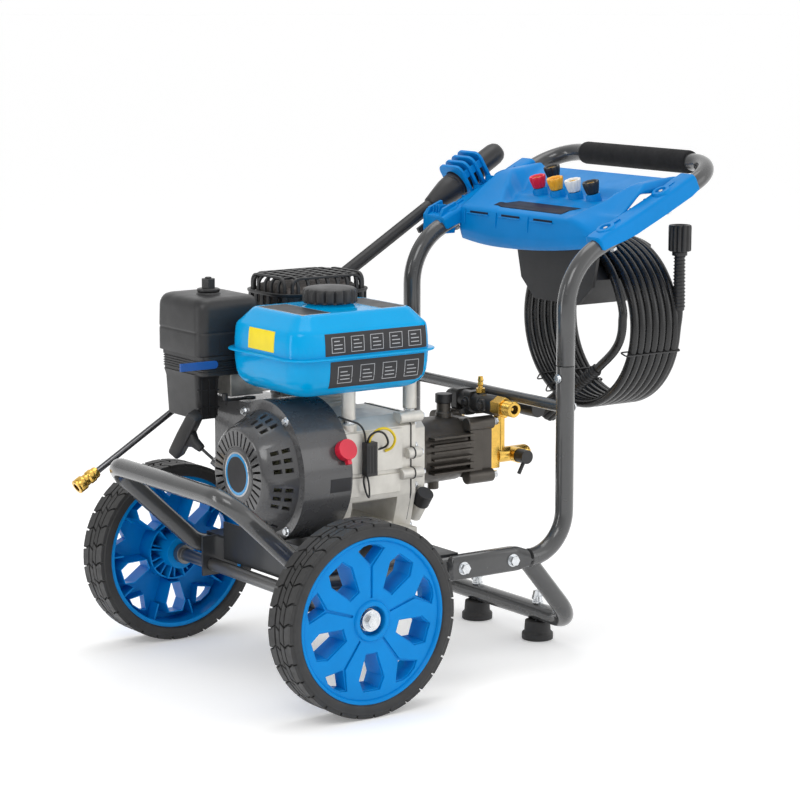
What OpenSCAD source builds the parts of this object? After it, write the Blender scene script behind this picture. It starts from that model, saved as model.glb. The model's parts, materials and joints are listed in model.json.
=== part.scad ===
// Petrol pressure washer: a tubular trolley on two wheels carries a horizontal-shaft
// engine, a direct-drive axial pump, a nozzle console, a spray gun and a coiled hose.
// Millimetres. X runs from the bumper to the handle, Y to the gun's side, Z up.
// Shapes are placed from the wheel axle and moved so that the origin is at the base's middle.

/* [Trolley] */
// Outside diameter of the frame tube
tube_d = 25.4; // [24.5:0.1:25.8]
// Wall of the frame tube
tube_wall = 2; // [1.5:0.1:2.5]
// Half the distance between the lower rails
rail_y = 155; // [154.5:0.1:155.2]
// Height of the lower rails' centreline
rail_z = 152; // [151.5:0.1:152.5]
// Half the distance between the uprights
post_y = 181; // [180.5:0.1:181.5]
// Distance of the uprights behind the axle
post_x = 379; // [378.5:0.1:379.5]
// Rise of the handle's arms in degrees
handle_rise = 25; // [24.8:0.1:25.2]
// Diameter of the foam grip
grip_d = 33.4; // [32:0.2:35]

/* [Wheels] */
// Outside diameter of the tyre
wheel_d = 254; // [253:0.5:254]
// Width of the tyre
tyre_w = 54.4; // [53:0.2:55]
// Diameter of the rim under the tyre
rim_d = 219; // [217:0.5:220]
// Distance between the tyres' outer faces
track_w = 542; // [541:0.5:543]
// Diameter of the axle
axle_d = 18; // [17.5:0.1:18.1]

/* [Engine] */
// Height of the crankshaft
crank_z = 275; // [274.8:0.1:275.2]
// Sideways place of the crankshaft
crank_y = 15; // [14.8:0.1:15.2]
// Tilt of the cylinder above level in degrees
cylinder_tilt = 25; // [24.8:0.1:25.2]
// Radius of the fan shroud
shroud_r = 97; // [96:0.5:97]
// Diameter of the fuel cap
cap_d = 75; // [70:1:78]

/* [Hose] */
// Outside diameter of the hose
hose_d = 12.5; // [12:0.1:12.5]
// Radius of the coil at the middle of its turns
coil_r = 118.75; // [118:0.25:119]

/* [Hidden] */
$fn = 48;

// Middle of the object along X, from the axle
mid_x = 255.15;
dark = "#3b3d3e";
zinc = "#c9ccd0";
alloy = "#b9b4aa";
black = "#17181a";
blue = "#0a7fd8";
brass = "#b8892f";
run_gap = 0.05;
slack = 0.3;

// Frame
tube_r = tube_d / 2;
base_z = rail_z + tube_r;
plate_t = 3.3;
engine_z = base_z + plate_t;
bumper_x = -145;
bumper_z = 281;
rail_join_x = 150;
foot_x = 420;
foot_z = 40;
foot_bend_x = foot_x - (rail_z - foot_z) / tan(50);
foot_y = 72;
flat_t = 14;
flat_y = rail_y + tube_r + flat_t / 2;
rail_bolt_x = [207, 290];
bolt_r = 4;
hole_r = 4.2;
splice_z = 412;
splice_bolt_z = 395;
cross_z = 354;
cross_r = 8;
arm_z0 = 570;
arm_x0 = 432;
bar_x = 654;
bar_z = arm_z(bar_x);
// Height of an arm's centreline at x
function arm_z(x) = arm_z0 + (x - arm_x0) * tan(handle_rise);

// Wheels
axle_z = 127;
axle_r = axle_d / 2;
rim_r = rim_d / 2;
hub_face = 9.5;
hub_back = 58.5;
axle_end = track_w / 2 - 9;

// Engine
case_x0 = 95;
case_x1 = 206;
cover_x1 = 238;
main_r = 12.5;
shaft_r = 9.5;
bore_dir = [0, cos(cylinder_tilt), sin(cylinder_tilt)];
bore_x = 150;
deck_0 = 62;
deck_1 = 124;
crank_p = [0, crank_y, crank_z];
case_outline = [[-45, 180], [-60, 236], [-60, 330], [-44, 345], [50.9, 345],
  [91.5, 257.7], [80, 236], [70, 180]];
case_inside = [[-38, 187], [-53, 238], [-53, 327], [-41, 338], [47, 338],
  [82, 262], [73, 238], [63, 187]];
dome_outline = [[-34, 194], [-48, 240], [-48, 322], [-36, 333], [42, 333],
  [76, 262], [66, 238], [60, 194]];
dome_inside = [[-28, 200], [-42, 243], [-42, 318], [-33, 327], [38, 327],
  [70, 262], [60, 240], [54, 200]];
cover_bolts = [[-54.8, 245], [-54.8, 300], [-52, 331], [-15, 339], [45, 339], [83, 262],
  [-41, 187], [64, 187]];
foot_holes = [[115, -62], [190, -62], [115, 82], [190, 82]];
tank_x = 117;
tank_posts = [[108, -46], [194, -46]];
tank_z0 = 385;
tank_z1 = 495;
cap_x = 114;
filter_x = 14;
filter_y = 153;
dip_p = [228, -51, 215.6];
dip_dir = [0, -0.6, 0.8];
recoil_x = -26;
rope_p = [-17, 92, 282];
rope_dir = [-30, 50, 44] / norm([-30, 50, 44]);
switch_tilt = 20.5;

// Pump
pump_r = 49;
head_x0 = 330;
head_x1 = 372;
unload_x = 353.5;
unload_z = 342;
knob_x = 428;
knob_z = 330;
inlet_z = 260;

// Console, gun and lance
nozzle_x = 524;
nozzle_pitch = 40.7;
nozzle_z = 622;
nozzle_tilt = 15;
soap_p = [553, 67, nozzle_z + 18];
nozzle_dir = [-sin(nozzle_tilt), 0, cos(nozzle_tilt)];
boss_x = [454, 552];
boss_h = 18;
gun_y = 232;
gun_tip = [-155, gun_y, 236];
gun_rise = 30.9;
gun_dir = [cos(gun_rise), 0, sin(gun_rise)];
gun_up = [-sin(gun_rise), 0, cos(gun_rise)];
lance_r = 4.5;
sleeve_s = 495;
body_s = 702;
gun_s = 854;
trigger_s = 702;

// Hose: the coil's turns stand side by side along X
hose_r = hose_d / 2;
coil_z = 438;
coil_x0 = 538;
coil_turns = 7;
coil_x1 = coil_x0 + coil_turns * hose_d;
tail_x = coil_x1 + hose_r;
// From the coil's last turn over the far side, under it and up the near side
rear_route = concat(
  [for (a = [90 : -15 : -165]) [tail_x, coil_r * cos(a), coil_z + coil_r * sin(a)]],
  [[632.5, -119, 438], [634.5, -119, 450], [635.5, -119, 462]]);
// From the coil's first turn inwards across its front
front_route = [[531, -119, 470], [531, -119, 455], [531, -118, 440], [531, -113, 425],
  [531, -103, 411], [531, -90, 399], [531, -77, 389], [531, -64, 379]];
rear_fit = [635.5, -119, 462];
front_fit = [531, -64, 379];
front_dir = [-18, 118, -91] / norm([-18, 118, -91]);

function unit(v) = v / norm(v);

// Places the children's Z axis along d at p
module along(p, d) {
  z = unit(d);
  x = unit(cross(abs(z[2]) > 0.9 ? [1, 0, 0] : [0, 0, 1], z));
  y = cross(z, x);
  multmatrix([[x[0], y[0], z[0], p[0]], [x[1], y[1], z[1], p[1]],
    [x[2], y[2], z[2], p[2]], [0, 0, 0, 1]]) children();
}
module placed() translate([-mid_x, 0, 0]) children();
module rod(a, b, r) along(a, b - a) cylinder(r = r, h = norm(b - a));
// A plate with the outline (y, z) from x0 to x1
module x_plate(x0, x1) translate([x0, 0, 0]) rotate([90, 0, 90])
  linear_extrude(x1 - x0) children();
module tube(r, bore, h) difference() {
  cylinder(r = r, h = h);
  translate([0, 0, -1]) cylinder(r = bore, h = h + 2);
}
// A block with four rounded upright edges, its bottom centred at the origin
module slab(w, d, h, r) linear_extrude(h) round_rect(w, d, r);
module round_rect(w, d, r) {
  square([w - 2 * r, d], center = true);
  square([w, d - 2 * r], center = true);
  for (x = [-1, 1], y = [-1, 1])
    translate([x * (w / 2 - r), y * (d / 2 - r)]) circle(r = r, $fn = 32);
}

// Bent tube: straight runs joined by tangent arcs with their own radii
function turn(p, i) = acos(unit(p[i] - p[i - 1]) * unit(p[i + 1] - p[i]));
function bend(p, i, r, steps) = let (
    u = unit(p[i] - p[i - 1]), w = unit(p[i + 1] - p[i]), a = turn(p, i),
    c = p[i] + unit(w - u) * r / cos(a / 2), e = unit(p[i] - u * r * tan(a / 2) - c))
  [for (k = [0 : steps]) c + (e * cos(a * k / steps) + u * sin(a * k / steps)) * r];
function bent(p, r, steps = 7) = [for (i = [0 : len(p) - 1])
  each (i == 0 || i == len(p) - 1) ? [p[i]] : bend(p, i, r[i], steps)];
function tangent(p, i) = i == 0 ? unit(p[1] - p[0]) :
  i == len(p) - 1 ? unit(p[i] - p[i - 1]) : unit(unit(p[i + 1] - p[i]) + unit(p[i] - p[i - 1]));
function square_to(x, t) = unit(x - t * (x * t));
// One closed tube through the points, its rings carried along without twist
module sweep(p, r, m = 20) {
  n = len(p);
  t = [for (i = [0 : n - 1]) tangent(p, i)];
  first = square_to(abs(t[0][2]) > 0.9 ? [1, 0, 0] : [0, 0, 1], t[0]);
  side = [for (i = 0, x = first; i < n; i = i + 1, x = square_to(x, t[min(i, n - 1)])) x];
  pts = [for (i = [0 : n - 1]) let (b = cross(side[i], t[i]))
    for (k = [0 : m - 1]) p[i] + (side[i] * cos(360 * k / m) + b * sin(360 * k / m)) * r];
  faces = concat([[for (k = [m - 1 : -1 : 0]) k]],
    [for (i = [0 : n - 2], k = [0 : m - 1]) [i * m + k, i * m + (k + 1) % m,
      (i + 1) * m + (k + 1) % m, (i + 1) * m + k]],
    [[for (k = [0 : m - 1]) (n - 1) * m + k]]);
  polyhedron(pts, faces, convexity = 8);
}
function longer(p, e) = [for (i = [0 : len(p) - 1])
  i == 0 ? p[0] + unit(p[0] - p[1]) * e :
  i == len(p) - 1 ? p[i] + unit(p[i] - p[i - 1]) * e : p[i]];
module hollow_pipe(p, r) difference() {
  sweep(bent(p, r), tube_r, 24);
  sweep(bent(longer(p, 1), r), tube_r - tube_wall, 16);
}
// The same tube with true curves, for a single bend in a plane square to Y
module elbow(p, r, rad) {
  for (i = [0, 1]) {
    u = unit(p[i + 1] - p[i]);
    rod(p[i] + u * (i == 0 ? 0 : r), p[i + 1] - u * (i == 0 ? r : 0), rad);
  }
  translate(p[1] + unit(p[0] - p[1]) * r + unit(p[2] - p[1]) * r) rotate([90, 0, 0])
    rotate([0, 0, 270]) rotate_extrude(angle = 90) translate([r, 0]) circle(r = rad, $fn = 32);
}

// Hexagon-headed bolt standing on its seat, and its hole
module hex_bolt(p, d, head = 6.5, h = 5, shank = 6, r = 2.9) along(p, d) {
  cylinder(r = head, h = h, $fn = 6);
  cylinder(r = head + 1.6, h = 1.2);
  translate([0, 0, -shank]) cylinder(r = r, h = shank + 0.5);
}
module bolt_hole(p, d, depth = 7, r = 3.1) along(p, d)
  translate([0, 0, -depth]) cylinder(r = r, h = depth + 1);

// ---------- Trolley ----------
module front_bumper() color(dark) placed()
  hollow_pipe([[rail_join_x, -rail_y, rail_z], [-7, -rail_y, rail_z],
    [bumper_x, -rail_y, bumper_z], [bumper_x, rail_y, bumper_z],
    [-7, rail_y, rail_z], [rail_join_x, rail_y, rail_z]], [0, 45, 40, 40, 45, 0]);

module rear_foot_frame() color(dark) placed() difference() {
  hollow_pipe([[rail_join_x, -rail_y, rail_z], [foot_bend_x, -rail_y, rail_z],
    [foot_x, -rail_y, foot_z], [foot_x, rail_y, foot_z],
    [foot_bend_x, rail_y, rail_z], [rail_join_x, rail_y, rail_z]], [0, 50, 42, 42, 50, 0]);
  for (x = rail_bolt_x, s = [-1, 1])
    rod([x, s * (rail_y - 20), rail_z], [x, s * (rail_y + 20), rail_z], hole_r);
  for (s = [-1, 1])
    translate([foot_x, s * foot_y, foot_z - 20]) cylinder(r = hole_r, h = 40);
}

module engine_base() color("#26282a") placed() difference() {
  union() {
    translate([9, -158, base_z]) cube([206, 316, plate_t]);
    translate([9, -112, base_z + plate_t - 1]) cube([3, 224, 22]);
    translate([9, -112, 136]) cube([3, 224, base_z - 135]);
    for (s = [-1, 1]) translate([-16, s * 128 - 2, 112]) cube([56, 4, base_z - 112]);
    for (s = [-1, 1]) translate([-16, s * 128 - 2, base_z - 1]) cube([30, 4, plate_t + 1]);
  }
  rod([0, -200, axle_z], [0, 200, axle_z], axle_r);
  for (h = foot_holes) translate([h[0], h[1], base_z - 1]) cylinder(r = hole_r, h = 6);
}

module axle() color("#8b8d90") placed() {
  rod([0, -axle_end, axle_z], [0, axle_end, axle_z], axle_r);
  for (s = [-1, 1]) rod([0, s * 200, axle_z], [0, s * 212, axle_z], axle_r + 5);
}

// The upright's foot is flattened to bolt against the rail
module flat_foot(s) translate([190, s * flat_y, rail_z]) rotate([90, 0, 90])
  linear_extrude(110) flat_oval();
module flat_oval() {
  square([flat_t, 20], center = true);
  for (z = [-10, 10]) translate([0, z]) circle(r = flat_t / 2);
}
module uprights() color(dark) placed() for (s = [-1, 1]) difference() {
  route = [[post_x, s * post_y, splice_z], [post_x, s * post_y, rail_z],
    [post_x - 61, s * post_y, rail_z]];
  union() {
    elbow(route, 60, tube_r);
    flat_foot(s);
    hull() {
      rod([post_x - 61, s * post_y, rail_z], [post_x - 60, s * post_y, rail_z], tube_r);
      translate([299, s * flat_y, rail_z]) rotate([90, 0, 90]) linear_extrude(1) flat_oval();
    }
  }
  elbow(longer(route, 1), 60, tube_r - tube_wall);
  for (x = rail_bolt_x)
    rod([x, s * (flat_y - 20), rail_z], [x, s * (flat_y + 20), rail_z], hole_r);
  for (z = [splice_bolt_z, cross_z])
    rod([post_x - 20, s * post_y, z], [post_x + 20, s * post_y, z], 3.1);
}

module handle_tube() color(dark) placed() difference() {
  union() {
    hollow_pipe([[post_x, -post_y, splice_z], [post_x, -post_y, arm_z(post_x)],
      [bar_x, -post_y, bar_z], [bar_x, post_y, bar_z],
      [post_x, post_y, arm_z(post_x)], [post_x, post_y, splice_z]], [0, 90, 55, 55, 90, 0]);
    for (s = [-1, 1]) translate([post_x, s * post_y, splice_z - 40])
      tube(tube_r - tube_wall - 0.05, tube_r - 2 * tube_wall, 60);
  }
  for (s = [-1, 1])
    rod([post_x - 20, s * post_y, splice_bolt_z], [post_x + 20, s * post_y, splice_bolt_z], 3.1);
  for (x = boss_x, s = [-1, 1]) console_screw_axis(x, s) cylinder(r = 3.1, h = 60, center = true);
}

module cross_bar() color(dark) placed() difference() {
  rod([post_x, -post_y, cross_z], [post_x, post_y, cross_z], cross_r);
  for (s = [-1, 1]) rod([post_x, s * post_y, cross_z - 30], [post_x, s * post_y, cross_z + 30],
    tube_r + 0.05);
}

module handle_grip() color(black) placed() difference() {
  union() {
    rod([bar_x, -112, bar_z], [bar_x, 112, bar_z], grip_d / 2);
    for (s = [-1, 1]) rod([bar_x, s * 111, bar_z], [bar_x, s * 118, bar_z], grip_d / 2 - 2);
  }
  rod([bar_x, -130, bar_z], [bar_x, 130, bar_z], tube_r);
}

module rubber_feet() color(black) placed() for (s = [-1, 1])
  translate([foot_x, s * foot_y, 0]) difference() {
    rotate_extrude() polygon([[0, 0], [22.5, 0], [22.5, 9], [19, 12],
      [18, foot_z - tube_r - 0.05], [0, foot_z - tube_r - 0.05]]);
    translate([0, 0, 10]) cylinder(r = bolt_r, h = 30);
  }

module foot_studs() color(zinc) placed() for (s = [-1, 1])
  translate([foot_x, s * foot_y, 0]) {
    translate([0, 0, 10]) cylinder(r = bolt_r, h = foot_z + tube_r + 8);
    translate([0, 0, foot_z + tube_r + 0.05]) cylinder(r = 8, h = 2);
    translate([0, 0, foot_z + tube_r + 1.5]) cylinder(r = 6.5, h = 8);
    for (a = [0, 180]) rotate([0, 0, a + 20]) translate([5, -1.5, foot_z + tube_r + 4])
      rotate([0, -25, 0]) cube([10, 3, 12]);
  }

// All hexagon bolts of the trolley, wheels and engine
module hex_bolts() color(zinc) placed() {
  for (x = rail_bolt_x, s = [-1, 1]) {
    y = flat_y + flat_t / 2;
    hex_bolt([x, s * y, rail_z], [0, s, 0], 7.2, 7, 2 * tube_r + flat_t + 6, bolt_r);
    hex_bolt([x, s * (rail_y - tube_r), rail_z], [0, -s, 0], 6.5, 5, 0, bolt_r);
  }
  for (s = [-1, 1]) {
    hex_bolt([post_x - tube_r, s * post_y, splice_bolt_z], [-1, 0, 0], 5, 4, 24, 3);
    hex_bolt([post_x + tube_r, s * post_y, cross_z], [1, 0, 0], 5, 4, 24, 3);
    along([0, s * axle_end, axle_z], [0, s, 0]) {
      cylinder(r = 14, h = 2.5);
      cylinder(r = 9, h = 8.5, $fn = 6);
    }
  }
  for (h = foot_holes) hex_bolt([h[0], h[1], engine_z + 12], [0, 0, 1], 6.5, 6, 17, bolt_r);
  for (b = cover_bolts) hex_bolt([case_x1 + 8, b[0], b[1]], [1, 0, 0], 4.6, 5);
  for (b = recoil_bolts) hex_bolt([18.5, crank_y + b[0], crank_z + b[1]], [-1, 0, 0], 4.6, 5, 4);
  for (b = head_bolts) hex_bolt([head_x1, b[0], b[1]], [1, 0, 0], 5.5, 8);
  for (x = boss_x, s = [-1, 1]) console_screw_axis(x, s) {
    translate([0, 0, -tube_r - 4]) cylinder(r = 5.5, h = 4, $fn = 6);
    translate([0, 0, -tube_r - 1]) cylinder(r = 3, h = 2 * tube_r + 7);
  }
}
recoil_bolts = [for (a = [35, 145, 215, 325]) [-91.4 * sin(a), 91.4 * cos(a)]];
head_bolts = [[-25, 237], [55, 237], [-25, 313], [55, 313]];
module console_screw_axis(x, s) translate([x, s * post_y, arm_z(x)])
  rotate([0, -handle_rise, 0]) children();

// ---------- Wheels: local Z is the axle, 0 at the outer face ----------
module wheel_side(s) placed() along([0, s * track_w / 2, axle_z], [0, s, 0]) children();
module rim() difference() {
  union() {
    rotate_extrude() polygon([[0, -hub_back], [23, -hub_back], [23, -12], [103, -12],
      [103, -50], [rim_r, -50], [rim_r, -3], [105, -3], [103, -6], [23, -6], [22, -3], [0, -3]]);
    for (a = [0 : 36 : 324]) rotate([0, 0, a]) translate([22, -1.5, -34]) cube([82, 3, 23]);
    translate([0, 0, -30]) tube(46, 43, 19);
  }
  translate([0, 0, -100]) cylinder(r = axle_r + run_gap, h = 120);
  translate([0, 0, -hub_face]) cylinder(r = 15.5, h = 12);
  for (a = [0 : 72 : 288]) rotate([0, 0, a - 90]) {
    translate([0, 0, -60]) linear_extrude(70)
      polygon([[50, 0], [60, 12], [88, 15], [97, 8], [97, -8], [88, -15], [60, -12]]);
    rotate([0, 0, 180]) translate([0, 0, -60]) linear_extrude(70)
      polygon([[80, 0], [96, 13], [99, 0], [96, -13]]);
    rotate([0, 0, 180]) translate([30, -2, -9]) cube([48, 4, 8]);
  }
}
module tyre() difference() {
  rotate_extrude($fn = 96) polygon([[rim_r, -51], [rim_r + 2, -tyre_w], [121, -tyre_w],
    [wheel_d / 2 - 1, -tyre_w + 4], [wheel_d / 2, -tyre_w + 8], [wheel_d / 2, -8],
    [wheel_d / 2 - 1, -4], [121, 0], [rim_r + 2, 0], [rim_r, -3]]);
  for (z = [-tyre_w / 3, -tyre_w * 2 / 3]) translate([0, 0, z - 1.5])
    difference() {
      cylinder(r = 140, h = 3, $fn = 96);
      translate([0, 0, -1]) cylinder(r = wheel_d / 2 - 3, h = 5, $fn = 96);
    }
}
module rim_near() color(blue) wheel_side(-1) rim();
module tyre_near() color(black) wheel_side(-1) tyre();
module rim_far() color(blue) wheel_side(1) rim();
module tyre_far() color(black) wheel_side(1) tyre();

// ---------- Engine ----------
module crankcase() color(alloy) placed() difference() {
  union() {
    x_plate(case_x0, case_x1) polygon(case_outline);
    translate([100, -78, engine_z]) cube([104, 174, 12]);
    translate([104, -44, engine_z]) cube([98, 114, 14]);
    for (p = tank_posts) translate([p[0], p[1], 318]) cylinder(r = 10.5, h = tank_z0 - 318);
    for (x = [116 : 22 : 182]) translate([x, -63, 240]) cube([3, 5, 84]);
  }
  x_plate(case_x0 + 8, case_x1 + 1) polygon(case_inside);
  rod([case_x0 - 1, crank_y, crank_z], [case_x0 + 9, crank_y, crank_z], main_r + run_gap);
  along(crank_p + [bore_x, 0, 0] + bore_dir * 40, bore_dir) cylinder(r = 36, h = 60);
  along(crank_p + [bore_x, 0, 0] + bore_dir * deck_0, bore_dir)
    translate([-60, -60, 0]) cube([120, 120, 60]);
  for (h = foot_holes) translate([h[0], h[1], engine_z - 1]) cylinder(r = hole_r, h = 14);
}

module side_cover() color(alloy) placed() difference() {
  union() {
    x_plate(case_x1, case_x1 + 8) polygon(case_outline);
    x_plate(case_x1 + 7, cover_x1) polygon(dome_outline);
    along(dip_p - dip_dir * 24, dip_dir) cylinder(r = 10, h = 26);
  }
  x_plate(case_x1 - 1, cover_x1 - 8) polygon(dome_inside);
  rod([case_x1, crank_y, crank_z], [cover_x1 + 1, crank_y, crank_z], main_r + run_gap);
  along(dip_p - dip_dir * 30, dip_dir) cylinder(r = 7.1, h = 40);
  along(dip_p + dip_dir * 2, dip_dir) cylinder(r = 12.5, h = 30);
  for (b = cover_bolts) bolt_hole([case_x1 + 8, b[0], b[1]], [1, 0, 0]);
}

// The throw points straight down, clear of the piston
module crankshaft() color("#8d9094") placed() {
  rod([22, crank_y, crank_z], [130, crank_y, crank_z], main_r);
  rod([168, crank_y, crank_z], [cover_x1, crank_y, crank_z], main_r);
  rod([cover_x1 - 1, crank_y, crank_z], [292, crank_y, crank_z], shaft_r);
  for (x = [126, 160]) x_plate(x, x + 14) {
    translate([crank_y, crank_z]) circle(r = 24);
    translate([crank_y, crank_z - 27]) circle(r = 18);
    translate([crank_y, crank_z + 12]) square([56, 34], center = true);
  }
  rod([139, crank_y, crank_z - 27], [161, crank_y, crank_z - 27], 13);
}

module flywheel() color("#c8c8a8") placed() difference() {
  union() {
    rod([40, crank_y, crank_z], [62, crank_y, crank_z], 86);
    rod([30, crank_y, crank_z], [88, crank_y, crank_z], 24);
    for (a = [0 : 22.5 : 337.5]) translate([24, crank_y, crank_z]) rotate([a, 0, 0])
      translate([0, 46, -1.5]) cube([18, 36, 3]);
  }
  rod([20, crank_y, crank_z], [90, crank_y, crank_z], main_r);
  rod([61, crank_y, crank_z], [89, crank_y, crank_z], main_r);
}

module cylinder_block() {
  difference() {
    union() {
      translate([-47, -44, 0]) cube([94, 88, 7]);
      cylinder(r = 42, h = deck_1 - deck_0);
      for (z = [13 : 8 : 53]) translate([-48, -45, z]) cube([96, 90, 3]);
      translate([-46, -43, deck_1 - deck_0 - 6]) cube([92, 86, 6]);
    }
    translate([0, 0, -1]) cylinder(r = 34, h = deck_1 - deck_0 - 5);
  }
}
module cylinder_frame(t) along(crank_p + [bore_x, 0, 0] + bore_dir * t, bore_dir) children();
module cylinder_node() color(alloy) placed() cylinder_frame(deck_0) cylinder_block();

module piston() color("#a9abad") placed() cylinder_frame(deck_0 + 9) difference() {
  cylinder(r = 34 - run_gap, h = 42);
  translate([0, 0, -1]) cylinder(r = 28, h = 35);
}

module rocker_cover() color(dark) placed() cylinder_frame(deck_1) {
  slab(88, 80, 8, 8);
  translate([0, 0, 7]) slab(80, 70, 25, 12);
}

module fan_shroud() color("#4c4c4c") placed() difference() {
  union() {
    rod([22, crank_y, crank_z], [case_x0, crank_y, crank_z], shroud_r);
    translate([22, crank_y, 205]) cube([case_x0 - 22, 138, 156]);
  }
  rod([24, crank_y, crank_z], [case_x0 + 1, crank_y, crank_z], shroud_r - 2);
  translate([24, crank_y, 207]) cube([case_x0, 136, 152]);
  rod([20, crank_y, crank_z], [25, crank_y, crank_z], 87);
  for (b = recoil_bolts) rod([20, crank_y + b[0], crank_z + b[1]], [26, crank_y + b[0],
    crank_z + b[1]], 3.1);
  switch_axis() cylinder(r = 4.2, h = 12, center = true);
}
module switch_axis() translate([84, crank_y, crank_z]) rotate([90 - switch_tilt, 0, 0])
  translate([0, 0, shroud_r]) children();

module recoil_cover() color("#4a4b4c") placed() difference() {
  union() {
    along([recoil_x, crank_y, crank_z], [1, 0, 0]) difference() {
      rotate_extrude() polygon([[0, 0], [60, 0], [64, 3], [82, 40], [83.5, 44.5], [97, 44.5],
        [97, 48], [80, 48], [60.5, 5], [8, 5], [8, 30], [0, 30]]);
      for (a = [0 : 11.25 : 348.75]) rotate([0, 0, a]) translate([39, -1.6, -1])
        cube([19.5, 3.2, 7]);
      for (g = [20, 70, 110, 160, 200, 250, 290, 340], k = [-1, 0, 1], j = [0, 1])
        rotate([0, 0, g + 10 * k]) translate([62, -3, 14 + 14 * j]) cube([40, 6, 10.5]);
    }
    rod(rope_p - rope_dir * 12, rope_p, 7);
  }
  rod(rope_p - rope_dir * 30, rope_p + rope_dir, 2.6);
  for (b = recoil_bolts) bolt_hole([18.5, crank_y + b[0], crank_z + b[1]], [-1, 0, 0], 8);
}

module recoil_reel() color("#202224") placed() along([-19, crank_y, crank_z], [1, 0, 0])
  rotate_extrude() polygon([[8 + run_gap, 0], [54, 0], [54, 3], [45, 4.5], [45, 11.5],
    [54, 13], [54, 16], [8 + run_gap, 16]]);

module recoil_grip() color(black) placed() {
  c = rope_p + rope_dir * 54;
  bar = unit(cross([1, 0, 0], rope_dir));
  rod(rope_p + rope_dir * 0.4, c, 2.3);
  along(c - rope_dir * 30, rope_dir) cylinder(r1 = 5.5, r2 = 7.5, h = 28);
  rod(c - bar * 41, c + bar * 41, 9);
}

// Pressed-steel tank with a seam flange, hollow inside
module tank_lower(e) translate([tank_x, 0, 0]) hull() {
  translate([0, 0, 436 - e]) slab(225 - 2 * e, 160 - 2 * e, 2, 28 - e);
  translate([0, 0, tank_z0 + 14 + e]) slab(221 - 2 * e, 156 - 2 * e, 2, 28 - e);
  translate([0, 0, tank_z0 + e]) slab(180 - 2 * e, 116 - 2 * e, 1, 24 - e);
}
module tank_upper(e) translate([tank_x, 0, 0]) hull() {
  translate([0, 0, 436]) slab(225 - 2 * e, 160 - 2 * e, 2, 28 - e);
  translate([0, 0, 474 - e]) slab(219 - 2 * e, 154 - 2 * e, 2, 27 - e);
  translate([0, 0, tank_z1 - 1 - e]) slab(180 - 2 * e, 116 - 2 * e, 1, 22 - e);
}
module fuel_tank() color("#0a9ee0") placed() difference() {
  union() {
    tank_lower(0);
    tank_upper(0);
    translate([tank_x, 0, 436.5]) slab(242, 178, 3, 36);
    translate([cap_x, 0, tank_z1 - 3]) cylinder(r = 32, h = 8);
  }
  tank_lower(1.5);
  tank_upper(1.5);
  translate([cap_x, 0, tank_z1 - 6]) cylinder(r = 26, h = 20);
}
module fuel_cap() color(black) placed() translate([cap_x, 0, tank_z1 + 5 + slack]) {
  difference() {
    cylinder(r = cap_d / 2, h = 20);
    for (a = [0 : 30 : 330]) rotate([0, 0, a]) translate([cap_d / 2 + 4, 0, -1])
      cylinder(r = 6, h = 30);
  }
  translate([0, 0, -12]) tube(26 - 0.2, 21, 13);
}

module muffler() color("#5b5550") placed() difference() {
  union() {
    translate([173, 160, 408]) slab(136, 106, 100, 30);
    rod([172, 150, 382], [172, 150, 412], 13);
    translate([172, 150, 382]) slab(46, 36, 4, 6);
  }
  translate([173, 160, 411]) slab(130, 100, 94, 27);
  translate([172, 150, 370]) cylinder(r = 11, h = 60);
  rod([235, 160, 480], [245, 160, 480], 10);
  cylinder_frame(deck_1 + 12) translate([-50, -45, -80]) cube([100, 90, 104]);
}

module muffler_guard() color(black) placed() difference() {
  translate([173, 159.5, 400]) slab(154, 121, 122, 36);
  translate([173, 159.5, 399]) slab(148, 115, 120, 33);
  for (x = [113 : 12 : 233]) translate([x - 3.5, 90, 425]) cube([7, 150, 80]);
  for (y = [116 : 12 : 208]) translate([90, y - 3.5, 425]) cube([170, 7, 80]);
  for (x = [119 : 12 : 227]) translate([x - 3.5, 125, 500]) cube([7, 74, 40]);
}

module air_filter_base() color("#1d1e20") placed() difference() {
  union() {
    translate([-28, 98, 396]) cube([84, 112, 27.7]);
    translate([-28, 100, 322]) cube([40, 105, 75]);
  }
  translate([-24, 102, 400]) cube([76, 104, 30]);
  translate([-25, 104, 340]) cube([34, 97, 55]);
  translate([36, 128, 390]) cylinder(r = 12, h = 20);
  along([-12, 98, 413], [0, -1, 0]) translate([0, 0, -6]) cylinder(r = 2.05, h = 10);
}
module air_filter_cover() color(black) placed() difference() {
  union() {
    translate([filter_x, filter_y, 424]) slab(94, 122, 34, 16);
    hull() {
      translate([filter_x, filter_y, 457]) slab(94, 122, 1, 16);
      translate([filter_x, filter_y, 494]) slab(91, 119, 1, 15);
      translate([filter_x, filter_y, 502]) slab(78, 106, 1, 12);
    }
    translate([filter_x, filter_y, 502]) cylinder(r = 16, h = 4);
  }
  translate([filter_x, filter_y, 423]) slab(88, 116, 70, 13);
  translate([filter_x, filter_y, 480]) cylinder(r = 4.2, h = 40);
}
module air_filter_nut() color(black) placed() translate([filter_x, filter_y, 506 + slack]) {
  cylinder(r = 12, h = 3);
  cylinder(r = 7, h = 13, $fn = 6);
  translate([0, 0, -30]) cylinder(r = 4, h = 31);
}
module carburettor() color("#8f8d86") placed() {
  difference() {
    union() {
      translate([20, 106, 364]) cube([52, 44, 32]);
      translate([36, 128, 395]) cylinder(r = 12 - 0.05, h = 12);
    }
    translate([36, 128, 380]) cylinder(r = 9, h = 40);
  }
  translate([71, 112, 366]) cube([28, 30, 20]);
}
module choke_lever() color("#1f63c0") placed() along([-12, 98 - slack, 413], [0, -1, 0]) {
  linear_extrude(3) {
    translate([-27, 0]) square([54, 11], center = true);
    circle(r = 5.5);
  }
  translate([0, 0, -6]) cylinder(r = 2, h = 7);
}
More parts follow.
